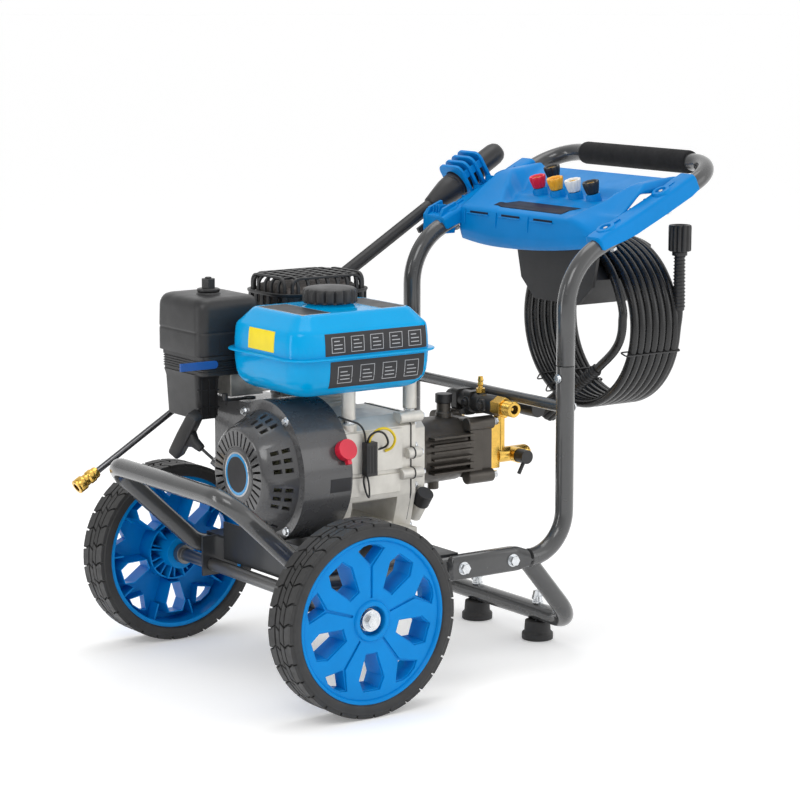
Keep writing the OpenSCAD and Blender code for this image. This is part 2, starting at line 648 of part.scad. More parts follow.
module throttle_lever() color(black) placed() translate([42, 92, 361 + slack]) {
  translate([-42, -4, 0]) cube([42, 8, 3]);
  cylinder(r = 8, h = 3);
  translate([-40, 0, 2]) cylinder(r = 4, h = 9);
}
module engine_switch() color("#d01838") placed() switch_axis() translate([0, 0, 1]) {
  cylinder(r = 14, h = 12);
  translate([-3, -20, 2]) cube([6, 12, 8]);
  translate([0, 0, -11]) cylinder(r = 4.1, h = 12);
}
module oil_alert_unit() color(black) placed() {
  translate([123, -63 - 6.5, 270]) slab(22, 13, 44, 2);
  sweep(bent([[119, -67, 313], [119, -67, 334], [140, -72, 345], [158, -72, 330],
    [158, -62, 318]], [0, 8, 8, 6, 0], 3), 1.6, 8);
  sweep(bent([[127, -71, 313], [127, -76, 326], [146, -80, 334], [166, -72, 318],
    [166, -62, 310]], [0, 6, 8, 6, 0], 3), 1.6, 8);
}
module oil_dipstick() color(black) placed() along(dip_p + dip_dir * (2 + slack), dip_dir) {
  cylinder(r = 12, h = 20);
  translate([0, 0, -20]) cylinder(r = 7, h = 21);
}

// ---------- Pump ----------
module pump_body() color("#4a443d") placed() difference() {
  union() {
    rod([cover_x1, crank_y, crank_z], [cover_x1 + 8, crank_y, crank_z], 58);
    rod([cover_x1 + 7, crank_y, crank_z], [head_x0 + 1, crank_y, crank_z], pump_r);
    for (z = [-22 : 11 : 22]) translate([262, crank_y - 56, crank_z + z - 2.5])
      cube([70, 112, 5]);
    translate([350, crank_y, crank_z]) rotate([0, 90, 0]) translate([0, 0, -20])
      slab(92, 96, 42, 10);
    translate([316, crank_y, 318]) cylinder(r = 10, h = 22);
    translate([298, crank_y, 218]) cylinder(r = 8, h = 12);
  }
  rod([cover_x1 - 1, crank_y, crank_z], [318, crank_y, crank_z], 38);
  for (a = [90, 210, 330]) rod([300, crank_y + 24 * cos(a), crank_z + 24 * sin(a)],
    [head_x1 + 1, crank_y + 24 * cos(a), crank_z + 24 * sin(a)], 7);
  translate([316, crank_y, 320]) cylinder(r = 6.1, h = 30);
  for (b = head_bolts) bolt_hole([head_x1, b[0], b[1]], [1, 0, 0]);
}
module swash_plate() color("#8d9094") placed() difference() {
  union() {
    rod([250, crank_y, crank_z], [284, crank_y, crank_z], 15);
    translate([276, crank_y, crank_z]) rotate([0, 90 - 12, 0]) translate([0, 0, -4])
      cylinder(r = 33, h = 8);
  }
  rod([240, crank_y, crank_z], [310, crank_y, crank_z], shaft_r);
}
module brass_manifold() color(brass) placed() difference() {
  union() {
    translate([head_x1, -17, 243]) cube([20, 64, 64]);
    rod([396, -10, inlet_z], [396, -10, knob_z - 9], 8);
    rod([390, -10, inlet_z], [440, -10, inlet_z], 11);
    translate([440, -10, inlet_z]) sphere(r = 11);
    rod([418, -10, inlet_z], [418, -30, inlet_z], 11);
  }
  rod([418, -12, inlet_z], [418, -31, inlet_z], 8);
}
module inlet_tap() color(black) placed() {
  rod([418, -14, inlet_z], [418, -31, inlet_z], 8 - run_gap);
  rod([418, -30 - slack, inlet_z], [418, -48, inlet_z], 10);
  rod([418, -41, inlet_z - 6], [408, -41, inlet_z - 24], 2.8);
}
module unloader() color("#2a2a2c") placed() difference() {
  union() {
    rod([unload_x, -62, unload_z], [unload_x, 34, unload_z], 14);
    rod([unload_x, 33, unload_z], [unload_x, 50, unload_z], 11);
    rod([unload_x, -10, 333], [knob_x, -10, knob_z], 9);
    rod([knob_x, -24, knob_z], [knob_x, 6, knob_z], 11);
    along([unload_x, -61, unload_z], [0, -1, 0]) cylinder(r = 13.5, h = 20, $fn = 6);
    rod([unload_x, -80, unload_z], [unload_x, -100, unload_z], 11);
    translate([unload_x, -22, unload_z + 8]) cylinder(r = 6, h = 12);
    translate([unload_x, -22, unload_z + 19]) cylinder(r = 3.5, h = 18);
    translate([unload_x - 8, 0, 321]) cube([16, 20, 14]);
  }
  rod([unload_x, -101, unload_z], [unload_x, -40, unload_z], 6);
  rod([knob_x, -25, knob_z], [knob_x, -8, knob_z], 5.1);
}
module unloader_knob() color(black) placed() {
  rod([knob_x, -24 - slack, knob_z], [knob_x, -60, knob_z], 12);
  rod([knob_x, -10, knob_z], [knob_x, -25, knob_z], 5);
}
module pump_oil_cap() color(black) placed() translate([316, crank_y, 340 + slack]) {
  cylinder(r = 12, h = 13);
  translate([0, 0, -14]) cylinder(r = 6, h = 15);
}

// ---------- Console, gun and hose hanger ----------
// Shell lying on the handle's arms
module console() color(blue) placed() difference() {
  union() {
    tray();
    for (s = [-1, 1]) arm_channel(s);
    for (x = boss_x, s = [-1, 1]) console_screw_axis(x, s)
      translate([0, 0, tube_r + 0.5]) cylinder(r = 13, h = boss_h - tube_r);
    for (i = [-1.5 : 1.5]) nozzle_seat([nozzle_x, -i * nozzle_pitch, nozzle_z]);
    nozzle_seat(soap_p);
    holster();
    lance_bracket();
  }
  for (s = [-1, 1]) rod([420, s * post_y, arm_z(420)], [640, s * post_y, arm_z(640)],
    tube_r + 0.1);
  for (x = boss_x, s = [-1, 1]) console_screw_axis(x, s)
    translate([0, 0, 5]) cylinder(r = 3.1, h = tube_r + 2);
  for (i = [-1.5 : 1.5]) nozzle_bore([nozzle_x, -i * nozzle_pitch, nozzle_z]);
  nozzle_bore(soap_p);
  gun_way();
}
// Front wall, sloped floor and rear lip
module tray() {
  translate([0, 167, 0]) rotate([90, 0, 0]) linear_extrude(334)
    polygon([[455, 556], [457, 606], [476, 611], [512, 619], [536, 622], [552, 636],
      [598, 654], [598, 651], [554, 632.5], [538, 618.5], [512, 615.5], [476, 607.5],
      [460, 603.5], [458, 556]]);
  for (s = [-1, 1]) translate([0, s * 145, 0]) rotate([90, 0, 0]) translate([0, 0, -20])
    linear_extrude(40) polygon([[457, 600], [476, 609], [512, 633], [530, 650], [546, 652],
      [598, 660], [598, 651], [552, 633], [530, 617], [476, 606]]);
}
module arm_channel(s) {
  u0 = [430, s * post_y, arm_z(430)];
  translate(u0) rotate([0, -handle_rise, 0]) translate([0, -17, -6]) cube([188, 34, tube_r + 9]);
}
module nozzle_seat(p) along(p - nozzle_dir * 16, nozzle_dir) cylinder(r = 11, h = 16);
module nozzle_bore(p) along(p - nozzle_dir * 13, nozzle_dir) cylinder(r = 6.1, h = 60);
module gun_frame(s) along(gun_tip + gun_dir * s, gun_dir) children();
module holster() {
  for (s = [740 : 22 : 784]) gun_frame(s) translate([-27, -38, 0]) cube([54, 64, 7]);
  gun_frame(740) translate([-27, -38, 0]) cube([54, 4, 51]);
  translate([478, 190, 603]) rotate([0, -gun_rise, 0]) cube([62, 24, 5]);
}
module lance_bracket() {
  gun_frame(640) translate([-15, -16, 0]) cube([30, 18, 20]);
  gun_frame(640) translate([-38, -16, 0]) cube([23.5, 12, 20]);
  translate([402, 194.5, 566]) cube([34, 14, 14]);
}
module gun_way() gun_frame(600) {
  cylinder(r = 12, h = 100);
  translate([-12, 0, 0]) cube([24, 30, 100]);
  translate([0, 0, 100]) cylinder(r = 22, h = 160);
  translate([-10, -33, 100]) cube([20, 33, 160]);
}
module hose_hanger() color(black) placed() {
  x_plate(505, 510) polygon([[-50, 471.5], [-82, 500], [-91, 537], [-100, 586],
    [100, 586], [91, 537], [82, 500], [50, 471.5]]);
  x_plate(509.5, 640) difference() {
    saddle_outline(0);
    saddle_outline(4);
  }
  x_plate(639.5, 644) difference() {
    translate([0, coil_z]) circle(r = 121, $fn = 96);
    translate([-150, coil_z - 130]) square([300, 180]);
    translate([-150, coil_z + 30]) square([104, 100]);
    translate([46, coil_z + 30]) square([104, 100]);
  }
}
module saddle_outline(e) intersection() {
  translate([0, coil_z]) circle(r = coil_r - hose_r - 2 - e, $fn = 96);
  polygon([[-50 + e * 1.2, 471.5 + e], [50 - e * 1.2, 471.5 + e], [84 - e, 510], [84 - e, 560],
    [-84 + e, 560], [-84 + e, 510]]);
}

// Spray nozzle with a quick-connect stem
module nozzle(p, c) color(c) placed() along(p, nozzle_dir) {
  translate([0, 0, slack]) cylinder(r = 12, h = 8);
  translate([0, 0, 8]) cylinder(r1 = 12, r2 = 10, h = 3);
  translate([0, 0, -10]) cylinder(r = 6, h = 11);
}
module nozzle_red() nozzle([nozzle_x, 1.5 * nozzle_pitch, nozzle_z], "#d01838");
module nozzle_yellow() nozzle([nozzle_x, 0.5 * nozzle_pitch, nozzle_z], "#f5a81c");
module nozzle_white() nozzle([nozzle_x, -0.5 * nozzle_pitch, nozzle_z], "#eeeeea");
module nozzle_black() nozzle([nozzle_x, -1.5 * nozzle_pitch, nozzle_z], "#17181a");
module nozzle_soap() nozzle(soap_p, "#1b1c1e");

module gun_body() color("#202123") placed() difference() {
  union() {
    gun_frame(body_s) rotate_extrude() polygon([[0, 0], [10, 0], [20, 44], [20, 93],
      [17, 107], [17, 141], [11, gun_s - body_s], [0, gun_s - body_s]]);
    gun_frame(body_s - 8) translate([-6, -26, 0]) cube([12, 24, 34]);
  }
  gun_frame(body_s - 9) cylinder(r = 9.5 + run_gap, h = 34);
  gun_frame(body_s - 9) translate([-2.7, -27, -1]) cube([5.4, 15, 28]);
  trigger_pin(2.05);
}
module trigger_pin(r) translate(gun_tip + gun_dir * (trigger_s + 9) - gun_up * 19)
  rotate([90, 0, 0]) cylinder(r = r, h = 14, center = true);
module gun_trigger() color("#2c2d30") placed() {
  trigger_pin(2);
  gun_frame(trigger_s - 37) translate([-2.4, -25, 0]) cube([4.8, 8, 49]);
}
module lance() color("#9a9da1") placed() {
  gun_frame(36) cylinder(r = lance_r, h = sleeve_s - 30);
  gun_frame(sleeve_s) cylinder(r = 9.5, h = body_s + 24 - sleeve_s);
  gun_frame(0) difference() {
    union() {
      cylinder(r = 8.5, h = 38);
      cylinder(r = 10.5, h = 14);
      translate([0, 0, 22]) cylinder(r = 9.6, h = 8);
    }
    translate([0, 0, -1]) cylinder(r = 6, h = 22);
  }
}

// ---------- Hose ----------
module hose_coil() color(black) placed() along([coil_x0, 0, coil_z], [1, 0, 0])
  rotate_extrude($fn = 96) translate([coil_r - hose_r, 0])
    square([hose_d, coil_turns * hose_d]);

module hose_tail_front() color(black) placed() sweep(front_route, hose_r - 0.05, 10);
module hose_tail_rear() color(black) placed() sweep(rear_route, hose_r - 0.05, 10);

// Bend restrictor and swivel nut at each end of the hose
module hose_fitting() {
  cylinder(r1 = 9, r2 = 8, h = 80);
  translate([0, 0, 79.5]) cylinder(r = 11, h = 6);
  translate([0, 0, 85]) difference() {
    cylinder(r = 16.5, h = 38);
    for (a = [0 : 30 : 330]) rotate([0, 0, a]) translate([17.5, 0, -1]) cylinder(r = 2.4, h = 50);
    translate([0, 0, 14]) cylinder(r = 11, h = 40);
  }
}
module hose_fittings() color(black) placed() {
  along(rear_fit, [0, 0, 1]) hose_fitting();
  along(front_fit, front_dir) hose_fitting();
}

front_bumper();
rear_foot_frame();
engine_base();
axle();
uprights();
handle_tube();
cross_bar();
handle_grip();
rubber_feet();
foot_studs();
hex_bolts();
rim_near();
tyre_near();
rim_far();
tyre_far();
crankcase();
side_cover();
crankshaft();
flywheel();
piston();
cylinder_node();  // cylinder
rocker_cover();
fan_shroud();
recoil_cover();
recoil_reel();
recoil_grip();
fuel_tank();
fuel_cap();
muffler();
muffler_guard();
air_filter_base();
air_filter_cover();
air_filter_nut();
carburettor();
choke_lever();
throttle_lever();
engine_switch();
oil_alert_unit();
oil_dipstick();
pump_body();
swash_plate();
brass_manifold();
unloader();
unloader_knob();
inlet_tap();
pump_oil_cap();
console();
hose_hanger();
nozzle_red();
nozzle_yellow();
nozzle_white();
nozzle_black();
nozzle_soap();
gun_body();
gun_trigger();
lance();
hose_coil();
hose_tail_front();
hose_tail_rear();
hose_fittings();
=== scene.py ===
"""The looks of a petrol pressure washer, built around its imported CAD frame.

Shapes are worked out in millimetres from the wheel axle, as the CAD source places them: X runs
from the bumper to the handle, Y to the gun's side, Z up. at() turns such a point into metres in
the row frame.
"""
import json
import math

import bmesh
import bpy
from mathutils import Matrix, Vector


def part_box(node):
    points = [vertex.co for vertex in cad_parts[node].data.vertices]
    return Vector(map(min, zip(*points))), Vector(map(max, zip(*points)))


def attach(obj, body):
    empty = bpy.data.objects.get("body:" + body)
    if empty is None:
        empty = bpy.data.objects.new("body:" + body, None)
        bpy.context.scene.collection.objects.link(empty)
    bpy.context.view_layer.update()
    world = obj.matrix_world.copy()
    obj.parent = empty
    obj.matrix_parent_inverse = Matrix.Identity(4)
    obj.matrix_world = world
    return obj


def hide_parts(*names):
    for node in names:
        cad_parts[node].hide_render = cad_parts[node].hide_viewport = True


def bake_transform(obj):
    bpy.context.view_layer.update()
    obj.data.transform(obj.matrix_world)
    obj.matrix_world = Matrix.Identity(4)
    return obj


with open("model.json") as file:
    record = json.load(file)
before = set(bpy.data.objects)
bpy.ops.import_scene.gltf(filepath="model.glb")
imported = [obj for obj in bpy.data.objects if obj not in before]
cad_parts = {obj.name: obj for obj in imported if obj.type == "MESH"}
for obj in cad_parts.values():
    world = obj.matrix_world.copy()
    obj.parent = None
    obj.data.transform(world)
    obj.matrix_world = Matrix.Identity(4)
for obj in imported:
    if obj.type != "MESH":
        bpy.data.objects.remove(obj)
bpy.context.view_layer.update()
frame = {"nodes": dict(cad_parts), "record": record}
AXLE = sum(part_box("axle"), Vector()) / 2
ORIGIN = Vector((AXLE.x, 0, 0))
BODY_OF = {n: b for b, ns in frame["record"]["behaviour"]["bodies"].items() for n in ns}
MM = 0.001

X = Vector((1, 0, 0))
Y = Vector((0, 1, 0))
Z = Vector((0, 0, 1))


def at(x, y, z):
    """A point given in millimetres from the axle, in metres in the row frame."""
    return ORIGIN + Vector((x, y, z)) * MM


def new_object(name, data):
    """An object that shows data, linked to the scene."""
    obj = bpy.data.objects.new(name, data)
    bpy.context.scene.collection.objects.link(obj)
    return obj


# ---------------------------------------------------------------- camera
RISE = math.radians(9.471)
TURN = math.radians(-35.102)
CAMERA_AT = (-1829.4, -2930.2, 951.46)
LENS_MM = 117.46
SENSOR_MM = 36


def make_camera():
    camera = new_object("camera", bpy.data.cameras.new("camera"))
    camera.data.lens = LENS_MM
    camera.data.sensor_width = SENSOR_MM
    camera.data.clip_end = 50
    camera.location = at(*CAMERA_AT)
    look = Vector((-math.sin(TURN) * math.cos(RISE), math.cos(TURN) * math.cos(RISE),
                   -math.sin(RISE)))
    camera.rotation_euler = look.to_track_quat("-Z", "Y").to_euler()
    bpy.context.scene.camera = camera


make_camera()

# ---------------------------------------------------------------- hose route
HOSE_D = 12.5
COIL_R = 118.75
COIL_Z = 438
COIL_X0 = 538
TURNS = 7
STEP = 15
FRONT_ROUTE = [(531, -119, 470), (531, -119, 455), (531, -118, 440), (531, -113, 425),
               (531, -103, 411), (531, -90, 399), (531, -77, 389), (531, -64, 379)]
REAR_END = [(632.5, -119, 438), (634.5, -119, 450), (635.5, -119, 462)]
FRONT_FIT = Vector(FRONT_ROUTE[-1])
FRONT_DIR = Vector((-18, 118, -91)).normalized()
REAR_FIT = Vector(REAR_END[-1])


def round_coil(x, angle):
    a = math.radians(angle)
    return (x, COIL_R * math.cos(a), COIL_Z + COIL_R * math.sin(a))


def hose_route():
    """From the front fitting up the near side, seven turns side by side, to the rear fitting."""
    first_x = COIL_X0 + HOSE_D / 2
    route = list(reversed(FRONT_ROUTE))
    for angle in range(150, 90, -STEP):
        share = (180 - angle) / 90
        route.append(round_coil(FRONT_ROUTE[0][0] + (first_x - FRONT_ROUTE[0][0]) * share, angle))
    steps = TURNS * 360 // STEP
    for i in range(steps):
        route.append(round_coil(first_x + TURNS * HOSE_D * i / steps, 90 - STEP * i))
    last_x = first_x + TURNS * HOSE_D
    for angle in range(90, -166, -STEP):
        route.append(round_coil(last_x, angle))
    return route + REAR_END


def smooth_line(points, parts=4):
    """The smooth curve through points, with each span cut into parts."""
    line = []
    last = len(points) - 1
    for i in range(last):
        a, b, c, d = (Vector(points[min(max(k, 0), last)]) for k in range(i - 1, i + 3))
        for k in range(parts):
            t = k / parts
            line.append((b * 2 + (c - a) * t + (a * 2 - b * 5 + c * 4 - d) * t * t
                         + (b * 3 - a - c * 3 + d) * t ** 3) / 2)
    return line + [Vector(points[-1])]


# ---------------------------------------------------------------- materials
LOW_NOISE, HIGH_NOISE = 0.3, 0.7


def ramp(nodes, low, high):
    """A colour ramp over the part of a noise's range that it mostly fills."""
    node = nodes.new("ShaderNodeValToRGB")
    for stop, where, colour in zip(node.color_ramp.elements, (LOW_NOISE, HIGH_NOISE), (low, high)):
        stop.position = where
        stop.color = (*colour, 1)
    return node


def noise(tree, where, scale, detail, rough, stretch=None):
    """A noise texture on the object's own coordinates, which are metres."""
    node = tree.nodes.new("ShaderNodeTexNoise")
    node.inputs["Scale"].default_value = scale
    node.inputs["Detail"].default_value = detail
    node.inputs["Roughness"].default_value = rough
    if stretch:
        mapping = tree.nodes.new("ShaderNodeMapping")
        mapping.inputs["Scale"].default_value = stretch
        tree.links.new(where, mapping.inputs["Vector"])
        where = mapping.outputs["Vector"]
    tree.links.new(where, node.inputs["Vector"])
    return node


def map_range(tree, source, from_low, from_high, to_low, to_high):
    node = tree.nodes.new("ShaderNodeMapRange")
    for socket, value in (("From Min", from_low), ("From Max", from_high), ("To Min", to_low),
                          ("To Max", to_high)):
        node.inputs[socket].default_value = value
    tree.links.new(source, node.inputs["Value"])
    return node.outputs["Result"]


def between(tree, source, low, high):
    """A noise's value brought into the range from low to high."""
    return map_range(tree, source, LOW_NOISE, HIGH_NOISE, low, high)


def bump_map(tree, texture, height):
    """Relief of a height in millimetres from a noise texture."""
    node = tree.nodes.new("ShaderNodeBump")
    node.inputs["Strength"].default_value = 1
    node.inputs["Distance"].default_value = height * MM
    tree.links.new(texture.outputs["Fac"], node.inputs["Height"])
    return node


def material(name, colour, rough, metal=0.0, grain=900, bump=0.02, vary=0.12, patch=14,
             rough_vary=0.06, coat=0.0, coat_rough=0.08, stretch=None, dust=0.0, specular=0.5,
             peel=0.0):
    """A finish with mottled colour, uneven gloss and a fine surface grain.

    grain and patch are the noise scales of the surface and of the colour, dust lays a paler film
    over upward faces, and peel is the long wave of sprayed paint."""
    made = bpy.data.materials.new(name)
    made.use_nodes = True
    tree = made.node_tree
    shader = tree.nodes["Principled BSDF"]
    where = tree.nodes.new("ShaderNodeTexCoord").outputs["Object"]
    shader.inputs["Metallic"].default_value = metal
    shader.inputs["Specular IOR Level"].default_value = specular
    shader.inputs["Coat Weight"].default_value = coat
    shader.inputs["Coat Roughness"].default_value = coat_rough
    cloud = noise(tree, where, patch, 5, 0.6)
    low = [c * (1 - vary) for c in colour]
    high = [min(1, c * (1 + vary)) for c in colour]
    shade = ramp(tree.nodes, low, high)
    tree.links.new(cloud.outputs["Fac"], shade.inputs["Fac"])
    colour_out = shade.outputs["Color"]
    if dust:
        up = tree.nodes.new("ShaderNodeSeparateXYZ")
        normal = tree.nodes.new("ShaderNodeNewGeometry")
        tree.links.new(normal.outputs["Normal"], up.inputs["Vector"])
        film = noise(tree, where, 60, 6, 0.7)
        amount = tree.nodes.new("ShaderNodeMath")
        amount.operation = "MULTIPLY"
        tree.links.new(up.outputs["Z"], amount.inputs[0])
        tree.links.new(between(tree, film.outputs["Fac"], 0, dust), amount.inputs[1])
        limit = tree.nodes.new("ShaderNodeClamp")
        tree.links.new(amount.outputs[0], limit.inputs["Value"])
        mix = tree.nodes.new("ShaderNodeMix")
        mix.data_type = "RGBA"
        tree.links.new(limit.outputs[0], mix.inputs["Factor"])
        tree.links.new(colour_out, mix.inputs[6])
        mix.inputs[7].default_value = (0.35, 0.34, 0.32, 1)
        colour_out = mix.outputs[2]
    tree.links.new(colour_out, shader.inputs["Base Color"])
    fine = noise(tree, where, grain, 3, 0.6, stretch)
    smear = noise(tree, where, patch * 3, 4, 0.6, stretch)
    low_rough, high_rough = max(0.03, rough - rough_vary), min(1, rough + rough_vary)
    tree.links.new(between(tree, smear.outputs["Fac"], low_rough, high_rough),
                   shader.inputs["Roughness"])
    relief = bump_map(tree, fine, bump)
    if peel:
        wave = noise(tree, where, 170, 1, 0.4)
        second = bump_map(tree, wave, peel)
        tree.links.new(relief.outputs["Normal"], second.inputs["Normal"])
        relief = second
    tree.links.new(relief.outputs["Normal"], shader.inputs["Normal"])
    return made


LOOKS = {
    "frame_paint": ((0.052, 0.053, 0.054), 0.24, dict(grain=1500, bump=0.006, coat=0.6,
                    coat_rough=0.06, peel=0.02, rough_vary=0.05, dust=0.03)),
    "base_paint": ((0.021, 0.023, 0.026), 0.38, dict(grain=1200, bump=0.01, coat=0.2, peel=0.02,
                   dust=0.05)),
    "axle_steel": ((0.2, 0.2, 0.2), 0.33, dict(metal=0.85, grain=900, stretch=(6, 0.3, 6),
                   bump=0.01)),
    "zinc": ((0.66, 0.68, 0.7), 0.27, dict(metal=1, grain=2500, bump=0.012, patch=160, vary=0.16,
             rough_vary=0.1)),
    "foam": ((0.013, 0.013, 0.014), 0.82, dict(grain=2600, bump=0.16, patch=40, vary=0.2,
             specular=0.3)),
    "foot_rubber": ((0.022, 0.022, 0.023), 0.62, dict(grain=1800, bump=0.04, dust=0.12)),
    "rim_plastic": ((0.0, 0.225, 0.62), 0.36, dict(grain=2200, bump=0.014, vary=0.07,
                    specular=0.14)),
    "tyre_rubber": ((0.019, 0.019, 0.0195), 0.52, dict(grain=1700, bump=0.035, vary=0.18, patch=30,
                    dust=0.07, rough_vary=0.1)),
    "cast_alloy": ((0.66, 0.64, 0.59), 0.42, dict(metal=0.45, grain=1300, bump=0.08, patch=35,
                   vary=0.1, rough_vary=0.1)),
    "steel": ((0.42, 0.42, 0.42), 0.28, dict(metal=1, grain=1100, stretch=(0.4, 6, 6),
              bump=0.012)),
    "fan_casting": ((0.42, 0.42, 0.27), 0.5, dict(metal=0.25, grain=1300, bump=0.05, patch=40)),
    "engine_black": ((0.03, 0.03, 0.032), 0.4, dict(grain=1300, bump=0.03, coat=0.2, peel=0.02)),
    "shroud_paint": ((0.07, 0.07, 0.072), 0.28, dict(grain=1500, bump=0.006, coat=0.5,
                     coat_rough=0.08, peel=0.03, vary=0.05)),
    "tank_paint": ((0.0, 0.34, 0.7), 0.16, dict(grain=1800, bump=0.004, coat=0.06, coat_rough=0.03,
                   peel=0.01, vary=0.04, rough_vary=0.04, specular=0.16)),
    "black_plastic": ((0.018, 0.018, 0.019), 0.42, dict(grain=2200, bump=0.03, vary=0.15,
                      dust=0.03)),
    "exhaust_steel": ((0.1, 0.09, 0.085), 0.55, dict(metal=0.8, grain=800, bump=0.05, patch=25,
                      vary=0.35, rough_vary=0.15)),
    "guard_paint": ((0.016, 0.016, 0.017), 0.45, dict(grain=1500, bump=0.03, dust=0.04)),
    "carb_alloy": ((0.5, 0.49, 0.46), 0.36, dict(metal=0.85, grain=1500, bump=0.05, patch=60,
                   vary=0.2)),
    "choke_blue": ((0.01, 0.09, 0.36), 0.35, dict(grain=1800, bump=0.01)),
    "switch_red": ((0.72, 0.012, 0.045), 0.36, dict(grain=1800, bump=0.02)),
    "pump_casting": ((0.085, 0.076, 0.066), 0.36, dict(metal=0.55, grain=1300, bump=0.05, patch=30,
                     vary=0.14, rough_vary=0.08)),
    "brass": ((0.78, 0.49, 0.11), 0.22, dict(metal=1, grain=900, bump=0.012, patch=70, vary=0.12,
              stretch=(0.5, 5, 5), rough_vary=0.08)),
    "unloader_black": ((0.035, 0.034, 0.033), 0.36, dict(metal=0.4, grain=1500, bump=0.03,
                       patch=40)),
    "console_plastic": ((0.0, 0.22, 0.6), 0.36, dict(grain=2200, bump=0.014, vary=0.06,
                        specular=0.14)),
    "nozzle_yellow": ((0.86, 0.4, 0.02), 0.35, dict(grain=1800, bump=0.02)),
    "nozzle_white": ((0.82, 0.82, 0.8), 0.35, dict(grain=1800, bump=0.02)),
    "lance_steel": ((0.12, 0.12, 0.125), 0.2, dict(metal=0.9, grain=900, stretch=(0.4, 6, 6),
                    bump=0.008, coat=0.3)),
    "hose_rubber": ((0.013, 0.013, 0.0135), 0.27, dict(grain=1500, bump=0.015, patch=30, vary=0.2,
                    rough_vary=0.08)),
    "fitting_plastic": ((0.016, 0.016, 0.017), 0.38, dict(grain=1800, bump=0.02)),
    "label_dark": ((0.03, 0.03, 0.033), 0.42, dict(grain=1500, bump=0.004, specular=0.3)),
    "label_navy": ((0.004, 0.01, 0.03), 0.5, dict(grain=1500, bump=0.004, specular=0.2)),
    "label_yellow": ((0.86, 0.68, 0.008), 0.34, dict(grain=1500, bump=0.006)),
    "label_silver": ((0.55, 0.56, 0.57), 0.3, dict(metal=0.6, grain=1500, bump=0.006)),
    "label_pale": ((0.42, 0.43, 0.45), 0.35, dict(grain=1500, bump=0.004)),
    "badge_blue": ((0.01, 0.28, 0.62), 0.2, dict(grain=1500, bump=0.004, coat=0.5)),
    "wire_yellow": ((0.85, 0.62, 0.02), 0.35, dict(grain=1500, bump=0.01)),
    "gasket": ((0.03, 0.03, 0.03), 0.7, dict(grain=1500, bump=0.05)),
}
MATERIALS = {name: material(name, colour, rough, **more)
             for name, (colour, rough, more) in LOOKS.items()}


# ---------------------------------------------------------------- mesh tools
def place(origin, z_axis, x_hint=None):
    """The matrix of a local frame whose Z runs along z_axis, in millimetres from the axle."""
    z = Vector(z_axis).normalized()
    hint = Vector(x_hint) if x_hint is not None else (X if abs(z.z) > 0.9 else Z)
    x = (hint - z * hint.dot(z)).normalized()
    y = z.cross(x)
    rows = Matrix((x, y, z)).transposed().to_4x4()
    rows.translation = Vector(origin)
    return rows


def rounded(w, d, r, arc=6):
    """The outline of a rectangle with round corners, anticlockwise."""
    points = []
    for i, (sx, sy) in enumerate(((1, 1), (-1, 1), (-1, -1), (1, -1))):
        for k in range(arc + 1):
            a = math.radians(90 * (i + k / arc))
            points.append((sx * (w / 2 - r) + r * math.cos(a), sy * (d / 2 - r) + r * math.sin(a)))
    return points


def ring_of(radius, sides, phase=0.0):
    return [(radius * math.cos(2 * math.pi * k / sides + phase),
             radius * math.sin(2 * math.pi * k / sides + phase)) for k in range(sides)]


def ring_at(matrix, outline, height):
    """A flat outline carried into a local frame, at a height on its axis."""
    return [matrix @ Vector((x, y, height)) for x, y in outline]


def turned(matrix, degrees):
    """A local frame turned about its own Z."""
    return matrix @ Matrix.Rotation(math.radians(degrees), 4, "Z")


